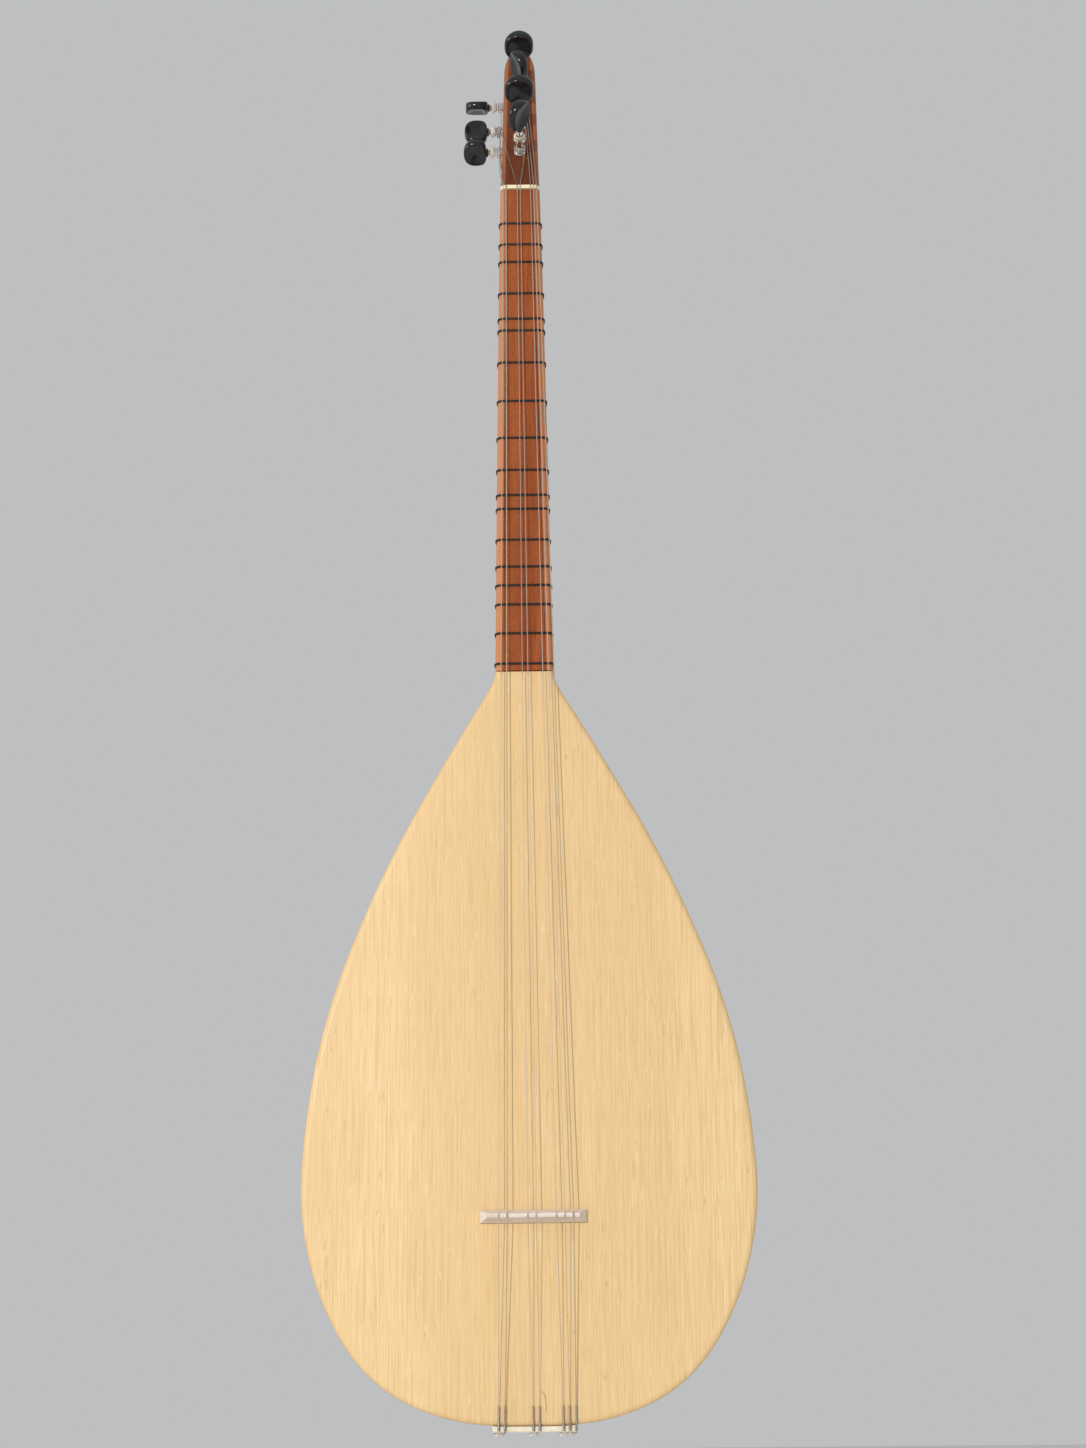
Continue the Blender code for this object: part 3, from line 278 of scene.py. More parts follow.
class NodeTree:
    """A material under construction, with short calls for the nodes that the finishes share."""

    def __init__(self, name: str) -> None:
        """Start a material with one shader and its output.

        Args:
            name: Name of the material.
        """
        self.material = bpy.data.materials.new(name)
        self.material.use_nodes = True
        self.tree = self.material.node_tree
        self.shader = self.tree.nodes["Principled BSDF"]

    def feed(self, socket: Socket, value: object) -> None:
        """Link an input to another node's output, or set it to a constant.

        Args:
            socket: The input.
            value: The other node's output, or a number, vector or colour.
        """
        if isinstance(value, Socket):
            self.tree.links.new(value, socket)
        elif socket.type == "RGBA":
            socket.default_value = (*value, 1.0)
        else:
            socket.default_value = value

    def add(self, kind: str, values: dict[str | int, object] | None = None,
            **settings: object) -> bpy.types.Node:
        """Add a node.

        Args:
            kind: The node's type name.
            values: A socket to link or a constant for each named or numbered input.
            **settings: Properties of the node itself.

        Returns:
            The new node.
        """
        node = self.tree.nodes.new(kind)
        for key, value in settings.items():
            setattr(node, key, value)
        for key, value in (values or {}).items():
            self.feed(node.inputs[key], value)
        return node

    def set(self, **values: object) -> None:
        """Set the shader's own inputs.

        Args:
            **values: A socket to link or a constant, by name with underscores for spaces.
        """
        for key, value in values.items():
            name = key.replace("_", " ").title().replace("Ior", "IOR")
            self.feed(self.shader.inputs[name], value)

    def place(self, source: GrainSource = GrainSource.PLACE) -> Socket:
        """Add coordinates whose Z runs along the grain.

        Args:
            source: Where the direction of the grain comes from.

        Returns:
            The coordinates.
        """
        if source is GrainSource.BENT:
            return self.add("ShaderNodeAttribute", attribute_name="grain").outputs["Vector"]
        place = self.add("ShaderNodeTexCoord").outputs["Object"]
        if source is GrainSource.TILTED:
            values = {"Vector": place, "Rotation": (HEAD_TILT, 0.0, 0.0)}
            return self.add("ShaderNodeMapping", values).outputs["Vector"]
        return place

    def sum(self, one: Socket, two: Socket | float, operation: str = "ADD") -> Socket:
        """Two values joined by an arithmetic operation."""
        return self.add("ShaderNodeMath", {0: one, 1: two}, operation=operation).outputs["Value"]

    def noise(self, place: Socket, scale: Triple, detail: float = 1.0, rough: float = 0.5,
              bend: float = 0.0) -> Socket:
        """Add a noise.

        Args:
            place: Coordinates of the noise.
            scale: Waves per metre along each axis.
            detail: Number of finer noises in it.
            rough: How strong the finer noises are.
            bend: How far the noise is bent.

        Returns:
            The noise's value.
        """
        stretched = self.add("ShaderNodeVectorMath", {0: place, 1: scale}, operation="MULTIPLY")
        values = {"Vector": stretched.outputs["Vector"], "Scale": 1.0, "Detail": detail,
                  "Roughness": rough, "Distortion": bend}
        return self.add("ShaderNodeTexNoise", values).outputs["Fac"]

    def ramp(self, value: Socket, low: float, high: float) -> Socket:
        """Value stretched from low..high to 0..1 and held there."""
        values = {"Value": value, "From Min": low, "From Max": high}
        return self.add("ShaderNodeMapRange", values, interpolation_type="SMOOTHSTEP").outputs[0]

    def blend(self, share: Socket, one: Socket | Colour, two: Socket | Colour) -> Socket:
        """Mix of two colours by a share."""
        return self.add("ShaderNodeMix", {0: share, 6: one, 7: two}, data_type="RGBA").outputs[2]

    def share(self, place: Socket, layer: Layer) -> tuple[Socket, Socket]:
        """Find how much of a layer shows.

        Args:
            place: Coordinates of the layer's noise.
            layer: The layer.

        Returns:
            A share from 0 to the layer's strength, and the layer's bare noise.
        """
        noise = self.noise(place, layer.scale, layer.detail, layer.rough, layer.bend)
        ramp = self.ramp(noise, layer.low, layer.high)
        return self.sum(ramp, layer.strength, "MULTIPLY"), noise

    def layer(self, place: Socket, layer: Layer, under: Socket | Colour,
              over: Colour) -> tuple[Socket, Socket]:
        """Lay a colour over another one.

        Args:
            place: Coordinates of the layer's noise.
            layer: Where the upper colour shows.
            under: The lower colour.
            over: The upper colour.

        Returns:
            The mixed colour and the layer's bare noise.
        """
        share, noise = self.share(place, layer)
        return self.blend(share, under, over), noise

    def bump(self, height: Socket, distance: float, strength: float = 0.4) -> None:
        """Raise the surface by a height value."""
        values = {"Height": height, "Distance": distance, "Strength": strength}
        self.set(normal=self.add("ShaderNodeBump", values).outputs["Normal"])


@dataclass(frozen=True)
class Finish:
    """A finish that is made once and then shared by its pieces."""

    name: str

    def material(self) -> Material:
        """Return the finish's material, made on first use."""
        found = bpy.data.materials.get(self.name)
        return found if found is not None else self.build()

    def build(self) -> Material:
        """Make the material; each kind of finish does this in its own way."""
        raise NotImplementedError


@dataclass(frozen=True)
class SoftwoodTop(Finish):
    """Quarter-cut spruce with fine straight rings, warm bands, flecks and a darker rim painted as
    shade on its rounding.
    """

    pale: Colour = (0.88, 0.65, 0.345)
    ring: Colour = (0.60, 0.36, 0.13)
    warm: Colour = (0.73, 0.47, 0.20)
    # Darker colour painted on the rounded rim as shade.
    rim: Colour = (0.60, 0.38, 0.17)
    silky: Colour = (0.92, 0.74, 0.45)
    pitchy: Colour = (0.50, 0.28, 0.09)
    rings: Layer = Layer((1150.0, 1.0, 14.0), 0.42, 0.64, 0.40, detail=2.0, rough=0.6)
    bands: Layer = Layer((21.0, 1.0, 0.7), 0.34, 0.66, 0.42)
    cloud: Layer = Layer((8.0, 1.0, 3.2), 0.35, 0.75, 0.24, detail=3.0, bend=0.6)
    fine: Layer = Layer((2600.0, 1.0, 60.0), 0.5, 0.75, 0.40)
    silk: Layer = Layer((420.0, 1.0, 48.0), 0.62, 0.74, 0.34, bend=1.6)
    pitch: Layer = Layer((330.0, 1.0, 40.0), 0.69, 0.77, 0.32, rough=0.4, bend=2.2)
    lacquer: float = 0.12
    gloss: float = 0.25
    under_gloss: float = 0.5
    relief: float = 0.00003

    def build(self) -> Material:
        """Make the spruce material.

        Returns:
            The material.
        """
        tree = NodeTree(self.name)
        place = tree.place()
        colour, rings = tree.layer(place, self.rings, self.pale, self.ring)
        colour, _ = tree.layer(place, self.bands, colour, self.warm)
        colour, _ = tree.layer(place, self.cloud, colour, self.warm)
        colour, fine = tree.layer(place, self.fine, colour, self.ring)
        colour, _ = tree.layer(place, self.silk, colour, self.silky)
        colour, _ = tree.layer(place, self.pitch, colour, self.pitchy)
        # The rounded rim is painted darker, as shade on its rounding, through the board's edge
        # marks.
        edge = tree.add("ShaderNodeAttribute", attribute_name="edge").outputs["Fac"]
        tree.set(base_color=tree.blend(edge, colour, self.rim), roughness=self.under_gloss,
                 coat_weight=self.lacquer, coat_roughness=self.gloss)
        tree.bump(tree.sum(rings, fine), self.relief)
        return tree.material


@dataclass(frozen=True)
class Hardwood(Finish):
    """Lacquered hardwood with dark open pores along its grain.

    Where band is over 0, a lighter colour is painted on the rounded front edges as a highlight,
    towards the edge colour. The piece is half_at_nut wide on each side at the nut and gains the
    widening for each metre down. The painted highlight reaches its width in from the sides and its
    depth back from the front.
    """

    base: Colour
    light: Colour
    dark: Colour
    source: GrainSource = GrainSource.PLACE
    gloss: float = 0.28
    extra_rough: float = 0.25
    lacquer: float = 0.05
    shine: float = 0.1
    figure: Layer = Layer((110.0, 110.0, 9.0), 0.3, 0.7, detail=3.0, rough=0.55, bend=0.4)
    streaks: Layer = Layer((800.0, 800.0, 26.0), 0.48, 0.78, 0.4, detail=2.0)
    pores: Layer = Layer((2400.0, 2400.0, 330.0), 0.55, 0.7, 0.55)
    relief: float = 0.00003
    # Strength of the painted highlight on the rounded front edges.
    band: float = 0.0
    # Colour of the painted highlight on the rounded front edges.
    edge: Colour = (0.58, 0.245, 0.115)
    half_at_nut: float = 0.0126
    widening: float = 0.0156
    highlight_width: float = 0.0044
    highlight_depth: float = 0.0055
    inner_share: float = 0.75
    fade_share: float = 1.5
    wander: float = 0.0012
    wander_scale: Triple = (60.0, 60.0, 14.0)

    def edge_highlight_share(self, tree: NodeTree, place: Socket) -> Socket:
        """Share of the rounded front edges that gets the painted highlight.

        Args:
            tree: The material under construction.
            place: Coordinates along the grain.

        Returns:
            A value from 0 on the flat and the sides to 1 on the front edges.
        """
        parts = tree.add("ShaderNodeSeparateXYZ", {"Vector": place})
        away = tree.sum(parts.outputs["X"], 0.0, "ABSOLUTE")
        wider = tree.sum(parts.outputs["Z"], -self.widening, "MULTIPLY")
        inside = tree.sum(away, tree.sum(wider, self.half_at_nut), "SUBTRACT")
        uneven = tree.sum(tree.noise(place, self.wander_scale, detail=2.0), -0.5)
        shift = tree.sum(uneven, self.wander, "MULTIPLY")
        across = tree.ramp(tree.sum(inside, shift), -self.highlight_width,
                           -self.inner_share * self.highlight_width)
        front = tree.ramp(tree.sum(parts.outputs["Y"], shift),
                          self.fade_share * self.highlight_depth, self.highlight_depth)
        return tree.sum(across, front, "MULTIPLY")

    def build(self) -> Material:
        """Make the hardwood material.

        Returns:
            The material.
        """
        tree = NodeTree(self.name)
        place = tree.place(self.source)
        colour, _ = tree.layer(place, self.figure, self.base, self.light)
        colour, _ = tree.layer(place, self.streaks, colour, self.dark)
        colour, pores = tree.layer(place, self.pores, colour, self.dark)
        # Painted highlight: the rounded front edges are lightened towards the edge colour, as if
        # lit.
        if self.band > 0:
            share = tree.sum(self.edge_highlight_share(tree, place), self.band, "MULTIPLY")
            colour = tree.blend(share, colour, self.edge)
        tree.set(base_color=colour, roughness=self.gloss + self.extra_rough,
                 specular_ior_level=self.shine, coat_weight=self.lacquer,
                 coat_roughness=self.gloss)
        hollow = tree.ramp(pores, self.pores.low, self.pores.high)
        tree.bump(tree.sum(hollow, -1.0, "MULTIPLY"), self.relief)
        return tree.material


@dataclass(frozen=True)
class SmoothFinish(Finish):
    """Bone, plastic, nylon or bare pale wood: an even colour with fine mottling and scuffs."""

    colour: Colour
    shade: Colour
    roughness: float
    coat: float = 0.0
    coat_roughness: float = 0.04
    mottle: float = 160.0
    streaked: float = 1.0
    scuffs: float = 0.05
    scuff_scale: Triple = (900.0, 900.0, 900.0)
    relief: float = 0.00001

    def build(self) -> Material:
        """Make the material.

        Returns:
            The material.
        """
        tree = NodeTree(self.name)
        place = tree.place()
        scale = (self.mottle * self.streaked, self.mottle, self.mottle)
        mottling = Layer(scale, low=0.3, high=0.72, detail=3.0)
        scuffing = Layer(self.scuff_scale, low=0.5, high=0.8, strength=self.scuffs, detail=2.0,
                         rough=0.7, bend=0.8)
        colour, soft = tree.layer(place, mottling, self.colour, self.shade)
        worn, scuff = tree.share(place, scuffing)
        tree.set(base_color=colour, roughness=tree.sum(worn, self.roughness),
                 coat_weight=self.coat, coat_roughness=self.coat_roughness)
        tree.bump(tree.sum(soft, scuff), self.relief, strength=0.6)
        return tree.material


@dataclass(frozen=True)
class MetalFinish(Finish):
    """Plated or drawn metal with fine haze and, on wound wire, ridges along it."""

    colour: Colour
    roughness: float
    haze: float = 0.08
    haze_scale: Triple = (350.0, 350.0, 350.0)
    dulled: float = 0.72
    dulling: tuple[float, float] = (0.5, 0.85)
    grit_scale: Triple = (2500.0, 2500.0, 2500.0)
    grit_relief: float = 0.000004
    ridge: float = 0.0
    ridge_relief: float = 0.00004

    def build(self) -> Material:
        """Make the metal material.

        Returns:
            The material.
        """
        tree = NodeTree(self.name)
        place = tree.place()
        hazing = Layer(self.haze_scale, low=0.45, high=0.75, strength=self.haze, detail=3.0,
                       rough=0.6)
        hazy, haze = tree.share(place, hazing)
        dull = tuple(self.dulled * channel for channel in self.colour)
        tree.set(base_color=tree.blend(tree.ramp(haze, *self.dulling), self.colour, dull),
                 roughness=tree.sum(hazy, self.roughness), metallic=1.0)
        if self.ridge > 0:
            # The wave texture has 20 * Scale / (2 * pi) bands in a metre.
            values = {"Vector": place, "Scale": 2 * math.pi / 20 / self.ridge}
            wave = tree.add("ShaderNodeTexWave", values, bands_direction="Z")
            tree.bump(wave.outputs["Fac"], self.ridge_relief, strength=0.5)
        else:
            tree.bump(tree.noise(place, self.grit_scale), self.grit_relief, strength=0.5)
        return tree.material


SPRUCE = SoftwoodTop("spruce_top")
# The neck's and the head's rounded front edges get a lighter painted highlight through band and
# edge.
NECK_WOOD = Hardwood("neck_mahogany", (0.300, 0.070, 0.018), (0.390, 0.108, 0.030),
                     (0.125, 0.027, 0.007), band=0.9)
HEAD_WOOD = Hardwood("head_mahogany", (0.140, 0.037, 0.014), (0.190, 0.054, 0.021),
                     (0.075, 0.019, 0.008), source=GrainSource.TILTED, band=0.7,
                     edge=(0.42, 0.160, 0.070), widening=0.0162, highlight_width=0.0036)
RED_STAVE = Hardwood("stave_mahogany", (0.27, 0.070, 0.022), (0.37, 0.115, 0.040),
                     (0.12, 0.028, 0.009), source=GrainSource.BENT, gloss=0.34)
BROWN_STAVE = Hardwood("stave_walnut", (0.105, 0.042, 0.018), (0.190, 0.082, 0.036),
                       (0.036, 0.013, 0.006), source=GrainSource.BENT, gloss=0.34)
RAW_BLOCK = Hardwood("raw_block", (0.55, 0.38, 0.20), (0.66, 0.47, 0.27), (0.42, 0.26, 0.12),
                     gloss=0.6, shine=0.2)
BONE = SmoothFinish("bone", (0.98, 0.88, 0.60), (0.91, 0.79, 0.48), 0.32, coat=0.2, mottle=220.0)
TAIL_BONE = SmoothFinish("tail_bone", (0.90, 0.84, 0.68), (0.80, 0.70, 0.52), 0.38, coat=0.15,
                         mottle=140.0)
BRIDGE_WOOD = SmoothFinish("bridge_wood", (0.84, 0.76, 0.69), (0.62, 0.53, 0.46), 0.42,
                           mottle=900.0, streaked=0.06, relief=0.00004)
FRET_NYLON = SmoothFinish("fret_nylon", (0.010, 0.008, 0.007), (0.018, 0.014, 0.012), 0.42)
BUTTON_BLACK = SmoothFinish("button_black", (0.004, 0.005, 0.007), (0.008, 0.010, 0.013), 0.19,
                            scuffs=0.12)
CREAM_DISC = SmoothFinish("cream_disc", (0.84, 0.76, 0.62), (0.74, 0.63, 0.48), 0.42, coat=0.1)
CHROME = MetalFinish("chrome_plate", (0.86, 0.86, 0.86), 0.07)
WIRE = MetalFinish("plain_wire", (0.78, 0.74, 0.68), 0.22)
DARK_WIRE = MetalFinish("dark_wire", (0.38, 0.35, 0.33), 0.3)
WOUND_WIRE = MetalFinish("wound_wire", (0.46, 0.39, 0.31), 0.38, ridge=0.00025)


# The body

@dataclass
class BodyOutline:
    """Smooth outline of the body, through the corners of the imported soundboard's back edge."""

    corners: list[Vector] = field(init=False)
    flat_reach: float = 1e-5
    least_gap: float = 1e-4

    def __post_init__(self) -> None:
        """Collect the right half of the outline, from the neck joint down to the tail."""
        low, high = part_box("soundboard")
        middle = (low.z + high.z) / 2
        rim = [point for point in node_points("soundboard")
               if abs(point.y - high.y) < self.flat_reach and point.x > -self.flat_reach]
        rim.sort(key=lambda point: math.atan2(point.x, point.z - middle))
        self.corners = []
        for point in rim:
            flat = Vector((max(point.x, 0.0), point.z))
            if not self.corners or (flat - self.corners[-1]).length > self.least_gap:
                self.corners.append(flat)
        if self.corners[0].x < self.least_gap:
            self.corners.pop(0)

    def point(self, place: float) -> Vector:
        """Find a point of the outline.

        Args:
            place: Share of the way from the neck joint to the tail.

        Returns:
            Half width and height there.
        """
        spans = len(self.corners) - 1
        index = min(int(place * spans), spans - 1)
        part = place * spans - index
        start, end = self.corners[index], self.corners[index + 1]
        before = self.corners[index - 1] if index else 2 * start - end
        after = self.corners[index + 2] if index + 2 <= spans else Vector((-start.x, start.y))
        square, cube = part ** 2, part ** 3
        return (start * (2 * cube - 3 * square + 1)
                + (end - before) / 2 * (cube - 2 * square + part)
                + end * (3 * square - 2 * cube)
                + (after - start) / 2 * (cube - square))

    def normal(self, place: float) -> Vector:
        """Find the direction out of the outline.

        Args:
            place: Share of the way from the neck joint to the tail.

        Returns:
            The direction across and up.
        """
        step = 0.0005
        along = self.point(min(place + step, 1.0)) - self.point(max(place - step, 0.0))
        return Vector((-along.y, along.x)).normalized()


@dataclass
class Soundboard:
    """The flat top with its rounded rim, where a darker tint painted as shade grows from a share
    of the rounding.
    """

    outline: BodyOutline
    round_width: float = 0.0036
    round_depth: float = 0.0024
    places: int = 150
    steps: int = 7
    # Strength of the rim's painted shade, and the share of the rounding where it starts.
    tint: float = 0.75
    rim_shade_start: float = 0.35

    def ring(self, inset: float, depth: float) -> list[Vector]:
        """One closed ring of the board.

        Args:
            inset: Distance inside the outline.
            depth: Place of the ring along Y.

        Returns:
            The ring's points, from the right side over the tail to the left side.
        """
        right = []
        for step in range(self.places + 1):
            place = step / self.places
            spot = self.outline.point(place) - self.outline.normal(place) * inset
            height = min(spot.y, self.outline.corners[0].y)
            right.append(Vector((max(spot.x, 0.0), depth, height)))
        right[-1].x = 0.0
        return right + [Vector((-point.x, point.y, point.z)) for point in reversed(right[:-1])]

    def build(self) -> None:
        """Make the board and mark its rounded rim for the finish's painted shade."""
        low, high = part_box("soundboard")
        rings, rim_shade_marks = [], []
        for step in range(self.steps + 1):
            part = step / self.steps
            turn = math.pi / 2 * part
            rings.append(self.ring(self.round_width * (1 - math.sin(turn)),
                                   low.y + self.round_depth * (1 - math.cos(turn))))
            rim_shade_marks.append(self.tint * max(part - self.rim_shade_start, 0.0) / (1 - self.rim_shade_start))
        rings.append(self.ring(0.0, high.y))
        rim_shade_marks.append(1.0)
        board = lofted("spruce_board", rings, smooth=50.0)
        # Marks where the rim's painted shade shows.
        edge = board.data.attributes.new("edge", "FLOAT", "POINT")
        edge.data.foreach_set("value", [mark for mark in rim_shade_marks for _ in rings[0]])
        settle(board, MAIN_BODY, SPRUCE, ["soundboard"])


@dataclass
class Bowl:
    """The staved shell behind the soundboard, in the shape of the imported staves."""

    outline: BodyOutline
    stave_nodes: list[str]
    thickness: float = 0.003
    seam: float = 0.00018
    places: int = 96
    columns: int = 9
    joint_reach: float = 0.0005
    tip_reach: float = 0.0012
    tip_search: tuple[float, float] = (0.6, 1.0)
    halvings: int = 30
    grain_shift: tuple[float, float] = (0.3, 0.13)
    hole_radius: float = 0.0065
    hole_margin: float = 0.0005
    hole_reach: float = 0.12
    hole_depth: float = 0.012
    rim_gap: float = 0.0025
    widest: float = field(init=False)
    rim_y: float = field(init=False)
    depth: float = field(init=False)
    swell: float = field(init=False)
    tip: float = field(init=False)

    def __post_init__(self) -> None:
        """Read the bowl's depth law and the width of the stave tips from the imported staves."""
        side, middle = self.stave_nodes[0], self.stave_nodes[len(self.stave_nodes) // 2]
        joint, tail = self.outline.corners[0], self.outline.corners[-1]
        self.widest = max(corner.x for corner in self.outline.corners)
        self.rim_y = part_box(side)[0].y
        self.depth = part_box(middle)[1].y - self.rim_y
        neck_depth = max(point.y for point in node_points(middle)
                         if point.z > joint.y - self.joint_reach) - self.rim_y
        self.swell = math.log(neck_depth / self.depth) / math.log(joint.x / self.widest)
        self.tip = max(point.x for point in node_points(side)
                       if point.z < tail.y + self.tip_reach)

    def surface(self, place: float, angle: float) -> Vector:
        """Find a point of the shell's outside.

        Args:
            place: Share of the way along the outline.
            angle: From 0 at the right rim over the back to pi at the left rim.

        Returns:
            The point.
        """
        spot = self.outline.point(place)
        deep = self.depth * max(spot.x / self.widest, 0.0) ** self.swell
        return Vector((spot.x * math.cos(angle), self.rim_y + deep * math.sin(angle), spot.y))

    def inward(self, place: float, angle: float) -> Vector:
        """Find the direction into the shell, which is level at its rims.

        Args:
            place: Share of the way along the outline.
            angle: From 0 at the right rim over the back to pi at the left rim.

        Returns:
            The direction.
        """
        step, level = 0.001, 1e-6
        along = (self.surface(min(place + step, 1.0), angle)
                 - self.surface(max(place - step, 0.0), angle))
        across = self.surface(place, angle + step) - self.surface(place, angle - step)
        normal = along.cross(across).normalized()
        if math.sin(angle) < level:
            normal = Vector((normal.x, 0.0, normal.z)).normalized()
        return -normal

    def last_place(self) -> float:
        """Find by halving where the stave tips end near the tail.

        Returns:
            Share of the way along the outline.
        """
        low, high = self.tip_search
        for _ in range(self.halvings):
            middle = (low + high) / 2
            wide = self.outline.point(middle).x > self.tip
            low, high = (middle, high) if wide else (low, middle)
        return low

    def stave(self, number: int) -> Piece:
        """Make one stave, with the length along its grain kept on its corners.

        Args:
            number: Place of the stave, counted from the right rim.

        Returns:
            The stave.
        """
        count = len(self.stave_nodes)
        first, last = math.pi * number / count, math.pi * (number + 1) / count
        beside, behind = (shift * number for shift in self.grain_shift)
        end = self.last_place()
        outside, inside, grain = [], [], []
        run, before = 0.0, None
        for row in range(self.places + 1):
            place = end * row / self.places
            reach = max(self.outline.point(place).x, self.tip)
            one = first if number == 0 else first + self.seam / 2 / reach
            two = last if number == count - 1 else last - self.seam / 2 / reach
            middle = self.surface(place, (first + last) / 2)
            run += (middle - before).length if before is not None else 0.0
            before = middle
            for column in range(self.columns + 1):
                angle = one + (two - one) * column / self.columns
                point = self.surface(place, angle)
                outside.append(point)
                inside.append(point + self.inward(place, angle) * self.thickness)
                grain.append((reach * (angle - one) + beside, behind, run))
        rows, wide = self.places + 1, self.columns + 1
        back = rows * wide
        faces = grid_faces(rows, wide, closed=False)
        faces += [face[::-1] for face in grid_faces(rows, wide, closed=False, start=back)]
        for row in range(rows - 1):
            for column in (0, wide - 1):
                low, high = row * wide + column, (row + 1) * wide + column
                faces.append((low, high, high + back, low + back))
        for row in (0, rows - 1):
            for column in range(wide - 1):
                low = row * wide + column
                faces.append((low, low + 1, low + 1 + back, low + back))
        piece = mesh_piece(f"stave_shell_{number + 1}", outside + inside, faces, smooth=50.0)
        attribute = piece.data.attributes.new("grain", "FLOAT_VECTOR", "POINT")
        values = [value for spot in grain + grain for value in spot]
        attribute.data.foreach_set("vector", values)
        return piece

    @staticmethod
    def keep_grain(old: bpy.types.Mesh, new: bpy.types.Mesh) -> None:
        """Carry the grain over to a cut mesh, from the nearest corners of the old one.

        Args:
            old: The mesh before the cut.
            new: The mesh after it.
        """
        values = [0.0] * (3 * len(old.vertices))
        old.attributes["grain"].data.foreach_get("vector", values)
        near = KDTree(len(old.vertices))
        for corner in old.vertices:
            near.insert(corner.co, corner.index)
        near.balance()
        carried = new.attributes.get("grain")
        if carried is None:
            carried = new.attributes.new("grain", "FLOAT_VECTOR", "POINT")
        found = [near.find(corner.co)[1] for corner in new.vertices]
        carried.data.foreach_set(
            "vector", [value for index in found for value in values[3 * index:3 * index + 3]])

    def hole_centre(self, node: str) -> Vector:
        """Find the small round hole near the tail of a packed stave.

        Args:
            node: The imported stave.

        Returns:
            The middle of the hole's corners.
        """
        reach = self.hole_radius + self.hole_margin
        near = [point for point in node_points(node) if abs(point.x) < reach
                and point.z < self.outline.corners[-1].y + self.hole_reach]
        rim = [point for point in near
               if min((point - other).length for other in near if other is not point)
               < self.rim_gap]
        return sum(rim, Vector()) / len(rim)

    def cut_sound_hole(self, piece: Piece, node: str) -> None:
        """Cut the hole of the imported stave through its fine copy.

        Args:
            piece: The fine copy of the stave.
            node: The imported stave, whose hole shows in its corners.
        """
        centre, crown, steps = self.hole_centre(node), math.pi / 2, 400
        place = min((step / steps for step in range(steps)),
                    key=lambda share: (self.surface(share, crown) - centre).length)
        out = -self.inward(place, crown)
        frame = Matrix.Translation(centre) @ out.to_track_quat("Z", "Y").to_matrix().to_4x4()
        ends = [(self.hole_radius, -self.hole_depth), (self.hole_radius, self.hole_depth)]
        cutter = turned("hole_cutter", ends, frame)
        change = piece.modifiers.new("sound_hole", "BOOLEAN")
        change.operation = "DIFFERENCE"
        change.object = cutter
        change.solver = "EXACT"
        bpy.context.view_layer.update()
        evaluated = piece.evaluated_get(bpy.context.evaluated_depsgraph_get())
        mesh = bpy.data.meshes.new_from_object(evaluated)
        self.keep_grain(piece.data, mesh)
        piece.modifiers.clear()
        piece.data = mesh
        bpy.data.objects.remove(cutter)
        LOG.info("sound hole at %s", [round(value, 4) for value in centre])

    def build(self) -> None:
        """Make every stave and dress the block behind their tips."""
        for number, node in enumerate(self.stave_nodes):
            piece = self.stave(number)
            if number == len(self.stave_nodes) // 2:
                self.cut_sound_hole(piece, node)
            slot, finish = ("walnut", BROWN_STAVE) if number % 2 else ("mahogany", RED_STAVE)
            settle(piece, MAIN_BODY, finish, [node])
        dress("tail_block", RAW_BLOCK)


# Neck, nut, bridge and tail

@dataclass
class NeckAndHead:
    """The neck, the tilted head and the small pieces that carry the strings."""

    bridge_edge: float = 0.0003
    nut_edge: float = 0.00025

    @staticmethod
    def rounded(node: str, slot: str, finish: Finish, width: float) -> None:
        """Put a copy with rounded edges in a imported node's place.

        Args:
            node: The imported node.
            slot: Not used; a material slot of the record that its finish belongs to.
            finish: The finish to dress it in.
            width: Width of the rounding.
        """
        piece = bpy.data.objects.new(f"{node}_rounded", NODES[node].data.copy())
        bpy.context.scene.collection.objects.link(piece)
        soften(piece, width)
        settle(piece, MAIN_BODY, finish, [node])

    def build(self) -> None:
        """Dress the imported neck, head and tailpiece, and round the nut and the bridge."""
        dress("neck", NECK_WOOD)
        dress("head", HEAD_WOOD)
        dress("tailpiece", TAIL_BONE)
        self.rounded("nut", "bone", BONE, self.nut_edge)
        self.rounded("bridge", "pale_wood", BRIDGE_WOOD, self.bridge_edge)


